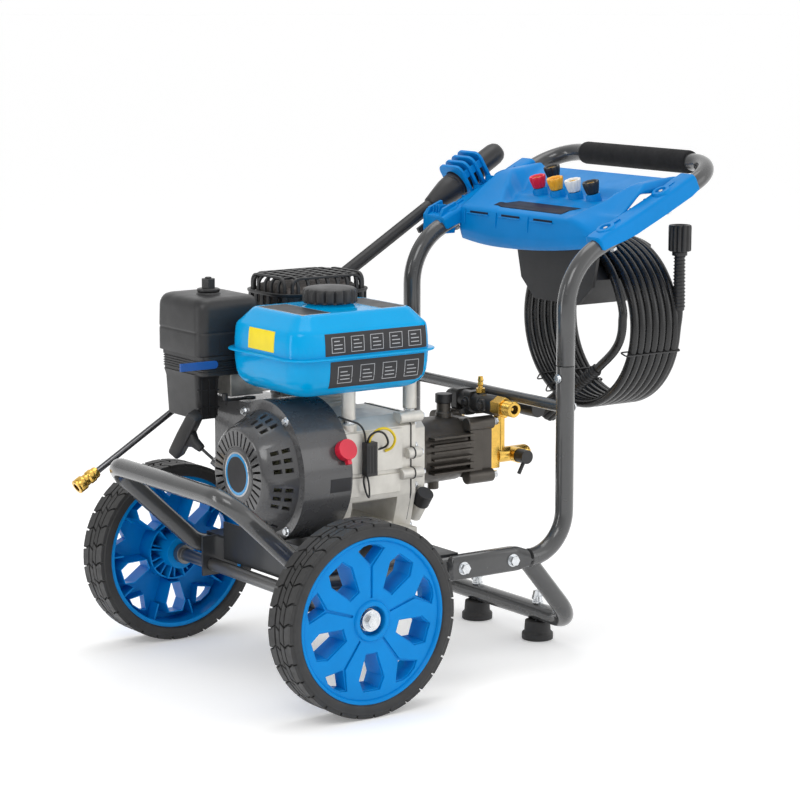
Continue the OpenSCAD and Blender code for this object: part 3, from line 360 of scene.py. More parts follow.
class Shape:
    """Gathers closed shells in millimetres from the axle, and makes one mesh piece of them."""

    def __init__(self):
        self.mesh = bmesh.new()

    def loft(self, rings, closed=False, caps=True):
        """Joins rings of equal length with quads. closed joins the last ring to the first."""
        rows = [[self.mesh.verts.new(Vector(p)) for p in ring] for ring in rings]
        count = len(rows[0])
        pairs = list(zip(rows, rows[1:]))
        if closed:
            pairs.append((rows[-1], rows[0]))
        for low, high in pairs:
            for k in range(count):
                n = (k + 1) % count
                self.mesh.faces.new((low[k], low[n], high[n], high[k]))
        if caps and not closed:
            self.mesh.faces.new(list(reversed(rows[0])))
            self.mesh.faces.new(rows[-1])
        return self

    def revolve(self, profile, matrix, sides=48):
        """Turns (radius, height) points about the frame's Z. A radius of 0 closes the shell."""
        rows = []
        for r, h in profile:
            if r <= 1e-6:
                rows.append([self.mesh.verts.new(matrix @ Vector((0, 0, h)))])
            else:
                rows.append([self.mesh.verts.new(p) for p in ring_at(matrix, ring_of(r, sides), h)])
        shut = profile[0][0] > 1e-6
        pairs = list(zip(rows, rows[1:])) + ([(rows[-1], rows[0])] if shut else [])
        for a, b in pairs:
            for k in range(sides):
                n = (k + 1) % sides
                if len(a) == 1 and len(b) == 1:
                    break
                if len(a) == 1:
                    self.mesh.faces.new((a[0], b[n], b[k]))
                elif len(b) == 1:
                    self.mesh.faces.new((a[k], a[n], b[0]))
                else:
                    self.mesh.faces.new((a[k], a[n], b[n], b[k]))
        return self

    def prism(self, outline, matrix, low, high, taper=1.0):
        """Extrudes a flat outline along the frame's Z. taper scales the top about the axis."""
        top = [(x * taper, y * taper) for x, y in outline]
        return self.loft([ring_at(matrix, outline, low), ring_at(matrix, top, high)])

    def stack(self, rows, centre):
        """Joins level rectangles with round corners: (height, width, depth, corner)."""
        return self.loft([level_ring(w, d, r, z, centre) for z, w, d, r in rows])

    def block(self, low, high, matrix=None):
        matrix = matrix or Matrix.Identity(4)
        (x0, y0, z0), (x1, y1, z1) = low, high
        outline = [(x0, y0), (x1, y0), (x1, y1), (x0, y1)]
        return self.prism(outline, matrix, z0, z1)

    def sweep(self, points, radius, sides=24, caps=True, closed=False):
        """A round tube along points. radius is one number or one for each point."""
        points = [Vector(p) for p in points]
        count = len(points)
        radii = radius if hasattr(radius, "__len__") else [radius] * count
        side = None
        rings = []
        for i, p in enumerate(points):
            before = points[i - 1] if i or closed else p
            after = points[(i + 1) % count] if i < count - 1 or closed else p
            t = (after - before).normalized()
            hint = side if side is not None else (X if abs(t.z) > 0.9 else Z)
            side = (hint - t * hint.dot(t)).normalized()
            other = t.cross(side)
            rings.append([p + side * x + other * y for x, y in ring_of(radii[i], sides)])
        return self.loft(rings, closed=closed, caps=caps)

    def finish(self, name, body, slot, material_name=None, **looks):
        """Makes one piece of the shells, in metres in the row frame, and dresses it."""
        bmesh.ops.recalc_face_normals(self.mesh, faces=self.mesh.faces)
        self.mesh.transform(Matrix.Translation(ORIGIN) @ Matrix.Scale(MM, 4))
        data = bpy.data.meshes.new(name)
        self.mesh.to_mesh(data)
        self.mesh.free()
        return dress(new_object(name, data), body, slot, material_name, **looks)


BEVEL_FROM = math.radians(32)


def dress(obj, body, slot, material_name=None, replaces=(), bevel=0.0, smooth=40):
    """Rounds a piece's edges, gives it its material and puts it on its body.

    bevel is in millimetres, for edges sharper than BEVEL_FROM. Edges over smooth degrees stay
    sharp in the shading."""
    if bevel:
        edge = obj.modifiers.new("edges", "BEVEL")
        edge.width = bevel * MM
        edge.segments = 2
        edge.limit_method = "ANGLE"
        edge.angle_limit = BEVEL_FROM
        edge.harden_normals = True
        edge.use_clamp_overlap = True
    for polygon in obj.data.polygons:
        polygon.use_smooth = True
    obj.data.set_sharp_from_angle(angle=math.radians(smooth))
    obj.data.materials.clear()
    obj.data.materials.append(MATERIALS[material_name or slot])
    if body:
        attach(obj, body)
    if replaces:
        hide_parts(*replaces)
    return obj


def softened(node, slot, bevel):
    """A copy of a CAD node with its edges rounded, standing for it."""
    source = frame["nodes"][node]
    mesh = bmesh.new()
    mesh.from_mesh(source.data)
    bmesh.ops.remove_doubles(mesh, verts=mesh.verts, dist=2e-6)
    bmesh.ops.dissolve_limit(mesh, angle_limit=math.radians(1), verts=mesh.verts,
                             edges=mesh.edges)
    data = bpy.data.meshes.new(node + "_shape")
    mesh.to_mesh(data)
    mesh.free()
    dress(new_object(node + "_shape", data), BODY_OF[node], slot, replaces=(node,), bevel=bevel)


# ---------------------------------------------------------------- hose
hose_line = smooth_line(hose_route())
hose = Shape().sweep(hose_line, HOSE_D / 2, 20).finish(
    "hose", "frame", "hose_rubber", smooth=60,
    replaces=("hose_coil", "hose_tail_front", "hose_tail_rear"))

# ---------------------------------------------------------------- trolley tubes
TUBE_R = 12.7
RAIL_Y, RAIL_Z = 155, 152
POST_X, POST_Y = 379, 181
SPLICE_Z = 412
BAR_X = 654
HANDLE_RISE = math.radians(25)


def arm_z(x):
    """Height of a handle arm's centreline."""
    return 570 + (x - 432) * math.tan(HANDLE_RISE)


BAR_Z = arm_z(BAR_X)


def bent(corners, radii, steps=14):
    """Straight runs joined by tangent arcs, as a list of points."""
    points = [Vector(corners[0])]
    for i in range(1, len(corners) - 1):
        p, before, after = (Vector(c) for c in (corners[i], corners[i - 1], corners[i + 1]))
        u, w = (p - before).normalized(), (after - p).normalized()
        angle = u.angle(w)
        centre = p + (w - u).normalized() * radii[i] / math.cos(angle / 2)
        start = (p - u * radii[i] * math.tan(angle / 2) - centre).normalized()
        for k in range(steps + 1):
            a = angle * k / steps
            points.append(centre + (start * math.cos(a) + u * math.sin(a)) * radii[i])
    return points + [Vector(corners[-1])]


def mirrored(half):
    """A route over the object's middle: the near half's corners, then the far half's."""
    return half + [(x, -y, z) for x, y, z in reversed(half)]


def make_frame_tubes():
    bend_x = 420 - (RAIL_Z - 40) / math.tan(math.radians(50))
    routes = {
        "front_bumper": (mirrored([(150, -RAIL_Y, RAIL_Z), (-7, -RAIL_Y, RAIL_Z),
                                   (-145, -RAIL_Y, 281)]), [0, 45, 40, 40, 45, 0]),
        "rear_foot_frame": (mirrored([(150, -RAIL_Y, RAIL_Z), (bend_x, -RAIL_Y, RAIL_Z),
                                      (420, -RAIL_Y, 40)]), [0, 50, 42, 42, 50, 0]),
        "handle_tube": (mirrored([(POST_X, -POST_Y, SPLICE_Z), (POST_X, -POST_Y, arm_z(POST_X)),
                                  (BAR_X, -POST_Y, BAR_Z)]), [0, 90, 55, 55, 90, 0]),
    }
    for node, (corners, radii) in routes.items():
        points = bent(corners, radii)
        rounded_ends = [TUBE_R - 0.7] + [TUBE_R] * len(points) + [TUBE_R - 0.7]
        first = points[0] + (points[1] - points[0]).normalized() * 0.7
        last = points[-1] + (points[-2] - points[-1]).normalized() * 0.7
        line = [points[0], first] + points[1:-1] + [last, points[-1]]
        Shape().sweep(line, rounded_ends, 40).finish(
            node + "_tube", "frame", "frame_paint", replaces=(node,), smooth=60)


def make_uprights():
    """Each upright bends forward at its foot, where it is pressed flat against the rail."""
    shape = Shape()
    flat_y = RAIL_Y + TUBE_R + 7
    for s in (-1, 1):
        line = bent([(POST_X, s * POST_Y, SPLICE_Z), (POST_X, s * POST_Y, RAIL_Z),
                     (POST_X - 61, s * POST_Y, RAIL_Z)], [0, 60, 0])
        rings = [[line[0] + Y * y * 0.94 - X * z * 0.94 for z, y in ring_of(TUBE_R, 40)]]
        for i, p in enumerate(line):
            t = (line[min(i + 1, len(line) - 1)] - line[max(i - 1, 0)]).normalized()
            up = t.cross(Y)
            lowered = p - Z * 0.7 if i == 0 else p
            rings.append([lowered + Y * y + up * z for z, y in ring_of(TUBE_R, 40)])
        foot = [(POST_X - 66, 0.05), (POST_X - 72, 0.5), (POST_X - 78, 0.95), (POST_X - 82, 1)]
        foot += [(191.5, 1), (190, 0.999)]
        for x, share in foot:
            centre = Vector((x, s * (POST_Y + (flat_y - POST_Y) * share), RAIL_Z))
            shrink = 0.9 if x == 190 else 1
            ring = []
            for z, y in ring_of(TUBE_R, 40):
                lift = max(-1, min(1, 4 * z / TUBE_R)) * 10
                flat = Vector((0, y * 7 / TUBE_R, z * 7 / TUBE_R + lift))
                round_point = Vector((0, y, z))
                ring.append(centre + round_point.lerp(flat, share) * shrink)
            rings.append(ring)
        shape.loft(rings)
    shape.finish("uprights_tube", "frame", "frame_paint", replaces=("uprights",), smooth=60)


def make_grip():
    """Foam sleeve with domed ends."""
    profile = [(TUBE_R, -118), (14.4, -118), (16, -116.6), (16.7, -113), (16.7, 113),
               (16, 116.6), (14.4, 118), (TUBE_R, 118)]
    matrix = place((BAR_X, 0, BAR_Z), Y)
    Shape().revolve(profile, matrix, 56).finish(
        "handle_foam", "frame", "foam", replaces=("handle_grip",), smooth=50)


make_frame_tubes()
make_uprights()
make_grip()

# ---------------------------------------------------------------- wheels
TYRE_R = 127
TYRE_W = 54.4
RIM_R = 109.5
TRACK = 542
AXLE_Z = 127
PLATE_TOP = -6
WINDOW = [(44, 8), (76, 18), (91, 12), (91, -12), (76, -18), (44, -8)]
PANE = [(73, 0), (92, 18.5), (97.5, 10), (99, 0), (97.5, -10), (92, -18.5)]
GROOVE = [(30, -1.5), (30, 1.5), (71, 1.8), (92.5, 20.5), (98.5, 11), (100.2, 0), (98.5, -11),
          (92.5, -20.5), (71, -1.8)]


def spin(points, degrees):
    a = math.radians(degrees)
    return [(x * math.cos(a) - y * math.sin(a), x * math.sin(a) + y * math.cos(a))
            for x, y in points]


def grown(points, amount):
    """An outline pushed out, or in, from its middle by about amount millimetres."""
    cx = sum(p[0] for p in points) / len(points)
    cy = sum(p[1] for p in points) / len(points)
    out = []
    for x, y in points:
        d = math.hypot(x - cx, y - cy)
        k = (d + amount) / d
        out.append((cx + (x - cx) * k, cy + (y - cy) * k))
    return out


def holed_plate(outer, holes, matrix, low, high, edge):
    """A flat plate with holes and rounded edges, as a mesh in millimetres from the axle."""
    data = bpy.data.curves.new("plate", "CURVE")
    data.dimensions = "2D"
    data.fill_mode = "BOTH"
    data.extrude = (high - low) / 2 - edge
    data.bevel_depth = edge
    data.bevel_resolution = 2
    data.offset = -edge
    for points in [outer] + holes:
        line = data.splines.new("POLY")
        line.points.add(len(points) - 1)
        line.use_cyclic_u = True
        for p, q in zip(line.points, points):
            p.co = (q[0], q[1], 0, 1)
    obj = new_object("plate", data)
    bpy.context.view_layer.update()
    mesh = bpy.data.meshes.new_from_object(
        obj.evaluated_get(bpy.context.evaluated_depsgraph_get()))
    mesh.transform(matrix @ Matrix.Translation((0, 0, (low + high) / 2)))
    bpy.data.objects.remove(obj)
    return mesh


def make_rim(name, side):
    """Dished plastic disc: ten windows with drafted walls, radial grooves and ribs behind."""
    matrix = place((0, side * TRACK / 2, AXLE_Z), (0, side, 0))
    shape = Shape()
    windows = [spin(WINDOW, a + 36) for a in range(0, 360, 72)]
    panes = [spin(PANE, a) for a in range(0, 360, 72)]
    slots = [spin(GROOVE, a) for a in range(0, 360, 72)]
    hub_hole = ring_of(19.5, 40)
    for outer, holes, low, high, edge in (
            (ring_of(104.5, 120), [hub_hole] + windows + panes, -12, -8.8, 0.4),
            (ring_of(104.0, 120), [hub_hole] + [grown(w, 1.6) for w in windows] + slots,
             -9.2, PLATE_TOP, 1.2)):
        shape.mesh.from_mesh(holed_plate(outer, holes, matrix, low, high, edge))
    shape.revolve([(19.5, -14), (19.5, -4), (20.6, -2.8), (25, -2.8), (26.4, -4), (27.5, -7),
                   (27.5, -14)], matrix, 64)
    shape.revolve([(9.1, -58.5), (22.4, -58.5), (23, -57.5), (23, -12), (19.4, -12),
                   (19.4, -15), (9.1, -15)], matrix, 56)
    shape.revolve([(103, -49.4), (103.6, -50), (RIM_R - 0.6, -50), (RIM_R, -49.4),
                   (RIM_R, -4), (RIM_R - 0.9, -2.6), (105.6, -2.6), (104, -4), (103, -8)],
                  matrix, 120)
    for outline in windows + panes:
        deep = -40 if outline in windows else -26
        shape.loft([ring_at(matrix, grown(outline, by) if by else outline, h)
                    for by, h in ((0, -9), (-3.2, deep), (-1.6, deep), (1.6, -9))], closed=True)
    for a in range(0, 360, 36):
        shape.block((22, -1.2, -38), (41, 1.2, -11), turned(matrix, a))
        shape.block((80, -1.2, -34), (103.5, 1.2, -11), turned(matrix, a + 18))
    for a in range(0, 360, 40):
        shape.block((22, -1, -44), (41, 1, -11), turned(matrix, a))
    shape.revolve([(39, -40), (41.2, -40), (41.6, -11), (39, -11)], matrix, 72)
    shape.finish(f"{name}_moulding", BODY_OF[name], "rim_plastic", replaces=(name,), smooth=35)


def tread_block(shape, matrix, outline, low=122.4, high=TYRE_R - 0.15, chamfer=0.7):
    """A lug: outline is (degrees round the tyre, place across it), wrapped on the tread."""
    fine = []
    for p, q in zip(outline, outline[1:] + outline[:1]):
        fine += [p, ((p[0] + q[0]) / 2, (p[1] + q[1]) / 2)]
    cx = sum(p[0] for p in outline) / len(outline)
    cy = sum(p[1] for p in outline) / len(outline)

    def wrapped(radius, inset):
        ring = []
        for degrees, across in fine:
            da, dy = degrees - cx, across - cy
            far = math.hypot(math.radians(da) * TYRE_R, dy)
            k = (far - inset) / far
            a = math.radians(cx + da * k)
            ring.append(matrix @ Vector((radius * math.cos(a), radius * math.sin(a),
                                         cy + dy * k)))
        return ring

    shape.loft([wrapped(low, 0), wrapped(high - chamfer, 0.1), wrapped(high, chamfer)])


def make_tyre(name, side):
    """Solid tyre: smooth walls, two grooves, shoulder lugs and slanted centre lugs."""
    matrix = place((0, side * TRACK / 2, AXLE_Z), (0, side, 0))
    shape = Shape()
    wall = [(RIM_R - 0.6, -3.2), (110.6, -0.9), (112.4, -0.3), (117.6, 0), (119.6, -0.5),
            (120.4, -0.3), (122.2, -1.1), (123.3, -3.2)]
    back = [(r, -TYRE_W - h) for r, h in reversed(wall)]
    shape.revolve([(RIM_R - 0.6, -49)] + wall + [(123.6, -6)] + [(123.6, -TYRE_W + 6)] + back,
                  matrix, 144)
    lugs = 30
    pitch = 360 / lugs
    for i in range(lugs):
        a = i * pitch
        gap = 0.55
        for mirror in (1, -1):
            def across(value):
                return value if mirror == 1 else -TYRE_W - value
            lean = 2.6 * mirror
            shift = 0 if mirror == 1 else pitch / 2
            start = a + shift
            shoulder = [(start + gap, across(-1.4)), (start + gap, across(-7)),
                        (start + gap + lean, across(-16.4)),
                        (start + pitch - gap + lean, across(-16.4)),
                        (start + pitch - gap, across(-7)), (start + pitch - gap, across(-1.4))]
            tread_block(shape, matrix, shoulder)
            middle = [(start + gap + lean, across(-18.4)),
                      (start + gap + lean * 0.2, across(-26.7)),
                      (start + pitch - gap + lean * 0.2, across(-26.7)),
                      (start + pitch - gap + lean, across(-18.4))]
            tread_block(shape, matrix, middle, high=TYRE_R - 0.6)
    shape.finish(f"{name}_tread", BODY_OF[name], "tyre_rubber", replaces=(name,), smooth=30)


for side, end in ((-1, "near"), (1, "far")):
    make_rim("rim_" + end, side)
    make_tyre("tyre_" + end, side)

# ---------------------------------------------------------------- fuel tank
TANK_X, TANK_Y = 114, -3
TANK_W, TANK_D = 227, 177
# (height, inset of the wall, radius of the upright corners)
TANK_SIDE = [(385, 30, 14), (385.3, 26, 17), (386.6, 21, 20), (390, 14.5, 23), (395, 8.6, 26),
             (401, 4.6, 28), (409, 2.2, 29), (420, 0.8, 30), (436, 0, 30), (440, 0, 30),
             (455, 0.5, 30), (468, 1.8, 29), (472.5, 3, 28), (475.5, 5, 27), (478, 7.6, 26),
             (490, 18.6, 20), (493, 21.6, 18), (494.6, 24.6, 16), (495, 28, 13)]


def tank_inset(z):
    """How far the tank's wall lies inside its widest outline at a height."""
    for (z0, e0, _), (z1, e1, _) in zip(TANK_SIDE, TANK_SIDE[1:]):
        if z0 <= z <= z1:
            return e0 + (e1 - e0) * (z - z0) / (z1 - z0)
    return 0


def tank_wall(x, z, lift):
    """The point of the tank's near wall at x and z, moved out by lift."""
    e = tank_inset(z)
    over = max(0, abs(x - TANK_X) - (TANK_W / 2 - e - 29))
    reach = TANK_D / 2 - e - 29 + math.sqrt(max(0, 29 ** 2 - over ** 2))
    return (x, TANK_Y - reach - lift, z)


def level_ring(w, d, r, z, centre=(0, 0), arc=8):
    return [(centre[0] + x, centre[1] + y, z) for x, y in rounded(w, d, r, arc)]


def make_tank():
    """Two pressed halves with a rolled seam, and a filler neck on a low collar."""
    shape = Shape()
    middle = (TANK_X, TANK_Y)
    shape.loft([level_ring(TANK_W - 2 * e, TANK_D - 2 * e, r, z, middle)
                for z, e, r in TANK_SIDE])
    lip = [(436.2, -0.5), (436.6, 6.6), (437.1, 8.2), (438, 8.6), (438.9, 8.2), (439.4, 6.6),
           (439.9, -0.5)]
    shape.loft([level_ring(TANK_W + 2 * e, TANK_D + 2 * e, 30 + e, z, middle)
                for z, e in lip], closed=True)
    neck = place((114, 0, 0), Z, X)
    shape.revolve([(26.5, 494), (40, 494.6), (38.5, 495.4), (34.5, 496.2), (32.6, 498),
                   (32, 499.4), (31, 500), (27, 500), (26.5, 499.4)], neck, 64)
    shape.finish("tank_shell", "frame", "tank_paint", replaces=("fuel_tank",), smooth=50)


def patch(shape, point_at, columns, rows, thick=0.4):
    """A thin closed panel through point_at(u, v, lift), for u and v in the given steps."""
    grid = [[[shape.mesh.verts.new(point_at(u, v, lift)) for u in columns] for v in rows]
            for lift in (0.05, thick)]
    last_v, last_u = len(rows) - 1, len(columns) - 1
    for sheet in grid:
        for j in range(last_v):
            for i in range(last_u):
                shape.mesh.faces.new((sheet[j][i], sheet[j][i + 1], sheet[j + 1][i + 1],
                                      sheet[j + 1][i]))
    edge = [(0, i) for i in range(last_u + 1)] + [(j, last_u) for j in range(1, last_v + 1)]
    edge += [(last_v, i) for i in range(last_u - 1, -1, -1)]
    edge += [(j, 0) for j in range(last_v - 1, 0, -1)]
    for (j0, i0), (j1, i1) in zip(edge, edge[1:] + edge[:1]):
        shape.mesh.faces.new((grid[0][j0][i0], grid[0][j1][i1], grid[1][j1][i1],
                              grid[1][j0][i0]))


def steps(low, high, count):
    return [low + (high - low) * k / count for k in range(count + 1)]


def make_labels():
    """Plain panels and a plain sticker for the tank: frames and bars, no lettering."""
    for name, x0, x1, z0, z1 in (("tank_panel_upper", 46, 212, 441.4, 471),
                                 ("tank_panel_lower", 54, 207, 397.5, 433.5)):
        panel = Shape()
        patch(panel, tank_wall, steps(x0, x1, 24), steps(z0, z1, 12))
        panel.finish(name, "frame", None, "label_dark", smooth=40)
    marks = Shape()
    for x0, z0, count, pitch, size in ((56, 445, 5, 31, 21), (66, 403.5, 4, 36, 23)):
        for i in range(count):
            left = x0 + pitch * i
            for u0, u1, v0, v1 in ((0, size, 0, 0.8), (0, size, size - 0.8, size),
                                   (0, 0.8, 0.8, size - 0.8), (size - 0.8, size, 0.8, size - 0.8),
                                   (4, size - 4, 5, 6.2), (4, size - 4, 10, 11.2),
                                   (4, size - 8, 15, 16.2)):
                patch(marks, tank_wall, steps(left + u0, left + u1, 3),
                      steps(z0 + v0, z0 + v1, 3), 0.6)
    marks.finish("tank_panel_frames", "frame", None, "label_pale", smooth=40)
    front = Shape()
    patch(front, lambda y, z, lift: (TANK_X - TANK_W / 2 + tank_inset(z) - lift, y, z),
          steps(-36, 28, 8), steps(444, 472, 8))
    front.finish("tank_front_sticker", "frame", None, "label_yellow", smooth=40)
    for name, x0, x1, y0, y1 in (("tank_top_panel", 30, 72, -62, 46),
                                 ("tank_top_rear_panel", 158, 196, -60, 40)):
        plate = place(((x0 + x1) / 2, (y0 + y1) / 2, 0), Z, X)
        Shape().prism(rounded(x1 - x0 + 4, y1 - y0 + 4, 3), plate, 494.4, 495.25).finish(
            name + "_edge", "frame", None, "label_silver", smooth=30)
        Shape().prism(rounded(x1 - x0, y1 - y0, 2), plate, 494.6, 495.45).finish(
            name, "frame", None, "label_dark", smooth=30)


def lobed(radius, depth, lobes, sides=144, sharp=2.0):
    """A round outline with evenly spaced hollows."""
    points = []
    for k in range(sides):
        a = 2 * math.pi * k / sides
        dent = (0.5 + 0.5 * math.cos(lobes * a)) ** sharp
        r = radius - depth * dent
        points.append((r * math.cos(a), r * math.sin(a)))
    return points


def make_fuel_cap():
    """Ratchet cap: finger hollows round a skirt, a domed rim and a sunk top."""
    matrix = place((114, 0, 500.3), Z, X)
    rows = [(31, 0, 0.6), (36.4, 0, 0.6), (37.2, 0.8, 2.6), (37.4, 3, 3.4), (37.4, 13.6, 3.4),
            (36.9, 16, 2.8), (35.6, 18.2, 1.2), (33.4, 19.6, 0.2), (29, 20.8, 0),
            (20, 22, 0), (10, 22.6, 0), (1, 22.8, 0)]
    shape = Shape()
    shape.loft([ring_at(matrix, lobed(r, depth, 16, 192, 5), h) for r, h, depth in rows])
    shape.revolve([(21, -12), (25.8, -12), (25.8, 1), (21, 1)], matrix, 48)
    shape.finish("fuel_cap_top", "fuel_cap", "black_plastic", replaces=("fuel_cap",), smooth=40)


make_tank()
make_labels()
make_fuel_cap()

# ---------------------------------------------------------------- air filter, exhaust guard
FILTER = (14, 153)
LID = (18, 158.5)


def make_filter_cover():
    """Deep moulded lid: a stepped parting line, drafted walls, a soft crown and a screw boss."""
    rows = [(424, 99, 117, 13), (424, 102.4, 120.4, 15.5), (425, 103, 121, 16),
            (452, 103, 121, 16), (454, 102.6, 120.6, 16), (455.2, 101.2, 119.2, 15.4),
            (456.2, 101.2, 119.2, 15.4), (457.2, 102.8, 120.8, 16), (459, 103, 121, 16),
            (486, 102, 120, 16.5), (491, 101, 119, 17), (495.5, 98.5, 116.5, 18),
            (498.8, 94.8, 112.8, 18), (501, 89.5, 107.5, 17), (502.3, 82, 100, 15),
            (502.8, 71, 89, 12), (503, 40, 50, 8)]
    shape = Shape()
    shape.stack(rows, LID)
    boss = place((*FILTER, 0), Z, X)
    shape.revolve([(4.2, 501), (18.5, 501.6), (17, 503.6), (16, 505.2), (14.8, 506),
                   (5, 506), (4.2, 505.4)], boss, 56)
    for side in (-1, 1):
        shape.block((LID[0] - 20, LID[1] + side * 60.2 - 1.2, 428),
                    (LID[0] - 12, LID[1] + side * 60.2 + 1.2, 450))
    shape.finish("air_filter_lid", "frame", "black_plastic", replaces=("air_filter_cover",),
                 smooth=45)


def make_filter_nut():
    """Hexagon on a broad washer face, with the stud's end in its top."""
    axis = place((*FILTER, 0), Z, X)
    shape = Shape()
    shape.revolve([(0, 506.3), (15.4, 506.3), (16, 507), (16, 509.4), (15, 510.4),
                   (9, 511.4), (0, 511.4)], axis, 56)
    shape.prism(ring_of(10.4, 6), axis, 510, 524)
    shape.revolve([(0, 520), (4.6, 520), (4.6, 525.5), (3.8, 526.3), (0, 526.3)], axis, 32)
    shape.finish("air_filter_wing", BODY_OF["air_filter_nut"], "black_plastic",
                 replaces=("air_filter_nut",), bevel=0.8, smooth=35)


def make_filter_base():
    """Box with moulded ribs that carries the lid, stepped down to the intake elbow."""
    shape = Shape()
    middle = (14, 154)
    shape.stack([(396, 82, 110, 8), (397, 84, 112, 9), (417, 84, 112, 9), (418, 88, 116, 11),
                 (423.4, 88, 116, 11), (423.7, 84, 112, 9)], middle)
    shape.stack([(334, 30, 82, 5), (335, 32, 84, 6), (388, 38, 86, 6), (397, 42, 92, 7)],
                (-9, 161))
    for i in range(5):
        z = 400.5 + 3.4 * i
        shape.stack([(z, 84, 112, 9), (z + 0.5, 86.4, 114.4, 9), (z + 1.5, 86.4, 114.4, 9),
                     (z + 2, 84, 112, 9)], middle)
    for x in (-20, -8, 4):
        shape.block((x - 1, 116.6, 338), (x + 1, 119.6, 390))
    for z in (350, 374):
        shape.block((-25.6, 117, z - 1), (8, 119.6, z + 1))
    shape.finish("air_filter_box", "frame", "black_plastic", replaces=("air_filter_base",),
                 smooth=40)


GUARD_W, GUARD_D, GUARD_R = 156, 119, 36
GUARD_C = (182, 160)
GUARD_TOP = 521.5
GUARD_RIM = 499
GUARD_FOOT = 400
GUARD_PITCH = 16.4


def round_box_point(w, d, r, along):
    """A point of a rectangle with round corners, and its outward normal, at a path length."""
    runs = [(w / 2 - r, d - 2 * r), (d / 2 - r, w - 2 * r)] * 2
    corner = math.pi * r / 2
    along %= 2 * (w + d - 4 * r) + 4 * corner
    for k, (_, straight) in enumerate(runs):
        turn = Matrix.Rotation(math.pi / 2 * k, 2)
        half_w, half_d = (w / 2, d / 2) if k % 2 == 0 else (d / 2, w / 2)
        if along <= straight:
            return turn @ Vector((half_w, -half_d + r + along)), turn @ Vector((1, 0))
        along -= straight
        if along <= corner:
            a = along / r
            n = Vector((math.cos(a), math.sin(a)))
            return turn @ (Vector((half_w - r, half_d - r)) + n * r), turn @ n
        along -= corner


def hoop(shape, direction, offset, reach, thick, top):
    """A flat strip that rises from the rim, bends over and comes down on the other side."""
    bend = 12
    across = reach - thick
    line = [(-across, GUARD_RIM - 4)]
    for side in (-1, 1):
        for k in range(6):
            a = math.pi / 2 * (k / 5 if side < 0 else 1 - k / 5)
            line.append((side * (across - bend + bend * math.cos(a)),
                         top - bend + bend * math.sin(a)))
    line.append((across, GUARD_RIM - 4))
    rings = []
    for i, (u, z) in enumerate(line):
        u0, z0 = line[max(i - 1, 0)]
        u1, z1 = line[min(i + 1, len(line) - 1)]
        t = Vector((u1 - u0, z1 - z0)).normalized()
        ring = []
        for edge, out in ((-1, -1), (1, -1), (1, 1), (-1, 1)):
            pu, pz = u - t.y * out * thick, z + t.x * out * thick
            if direction == "y":
                ring.append((GUARD_C[0] + offset + edge * 2.4, GUARD_C[1] + pu, pz))
            else:
                ring.append((GUARD_C[0] + pu, GUARD_C[1] + offset + edge * 2.4, pz))
        rings.append(ring)
    shape.loft(rings)


def hoop_reach(offset, half, other_half, radius):
    """How far a hoop reaches each way, on a plan with round corners."""
    over = abs(offset) - (half - radius)
    if over <= 0:
        return other_half
    return other_half - (radius - math.sqrt(max(0, radius ** 2 - over ** 2)))


def make_guard():
    """Pressed cage over the silencer: a slotted shell with a rim, and hoops over its top."""
    shape = Shape()
    for rows in ([(GUARD_FOOT, -3), (GUARD_FOOT, 0), (425, 0), (426.5, -0.8), (425, -3)],
                 [(GUARD_RIM - 5, -3.4), (GUARD_RIM - 5, 0), (GUARD_RIM - 2, 1.6),
                  (GUARD_RIM, 1.6), (GUARD_RIM, -3.4)],
                 [(459, -3), (459, -0.6), (463, -0.6), (463, -3)]):
        shape.loft([level_ring(GUARD_W + 2 * e, GUARD_D + 2 * e, GUARD_R + e, z, GUARD_C, 12)
                    for z, e in rows], closed=True)
    around = 2 * (GUARD_W + GUARD_D - 4 * GUARD_R) + 2 * math.pi * GUARD_R
    count = round(around / GUARD_PITCH)
    for i in range(count):
        middle = around * (i + 0.5) / count
        feet = []
        for z in (423, GUARD_RIM - 4):
            ring = []
            for reach, lift in ((-4.2, -0.2), (0, 0), (4.2, -0.2), (4.2, -2.4), (0, -2.2),
                                (-4.2, -2.4)):
                p, n = round_box_point(GUARD_W, GUARD_D, GUARD_R, middle + reach)
                p = p + n * lift
                ring.append((GUARD_C[0] + p.x, GUARD_C[1] + p.y, z))
            feet.append(ring)
        shape.loft(feet)
    inset = 5
    for i in range(-4, 5):
        offset = i * GUARD_PITCH
        reach = hoop_reach(offset, GUARD_W / 2 - inset, GUARD_D / 2 - inset, GUARD_R - inset)
        hoop(shape, "y", offset, reach, 1.7, GUARD_TOP - 1.7)
    for i in range(-3, 4):
        offset = i * GUARD_PITCH
        reach = hoop_reach(offset, GUARD_D / 2 - inset, GUARD_W / 2 - inset, GUARD_R - inset)
        hoop(shape, "x", offset, reach, 1.7, GUARD_TOP - 2.6)
    shape.finish("muffler_cage", "frame", "guard_paint", replaces=("muffler_guard",),
                 bevel=0.7, smooth=45)


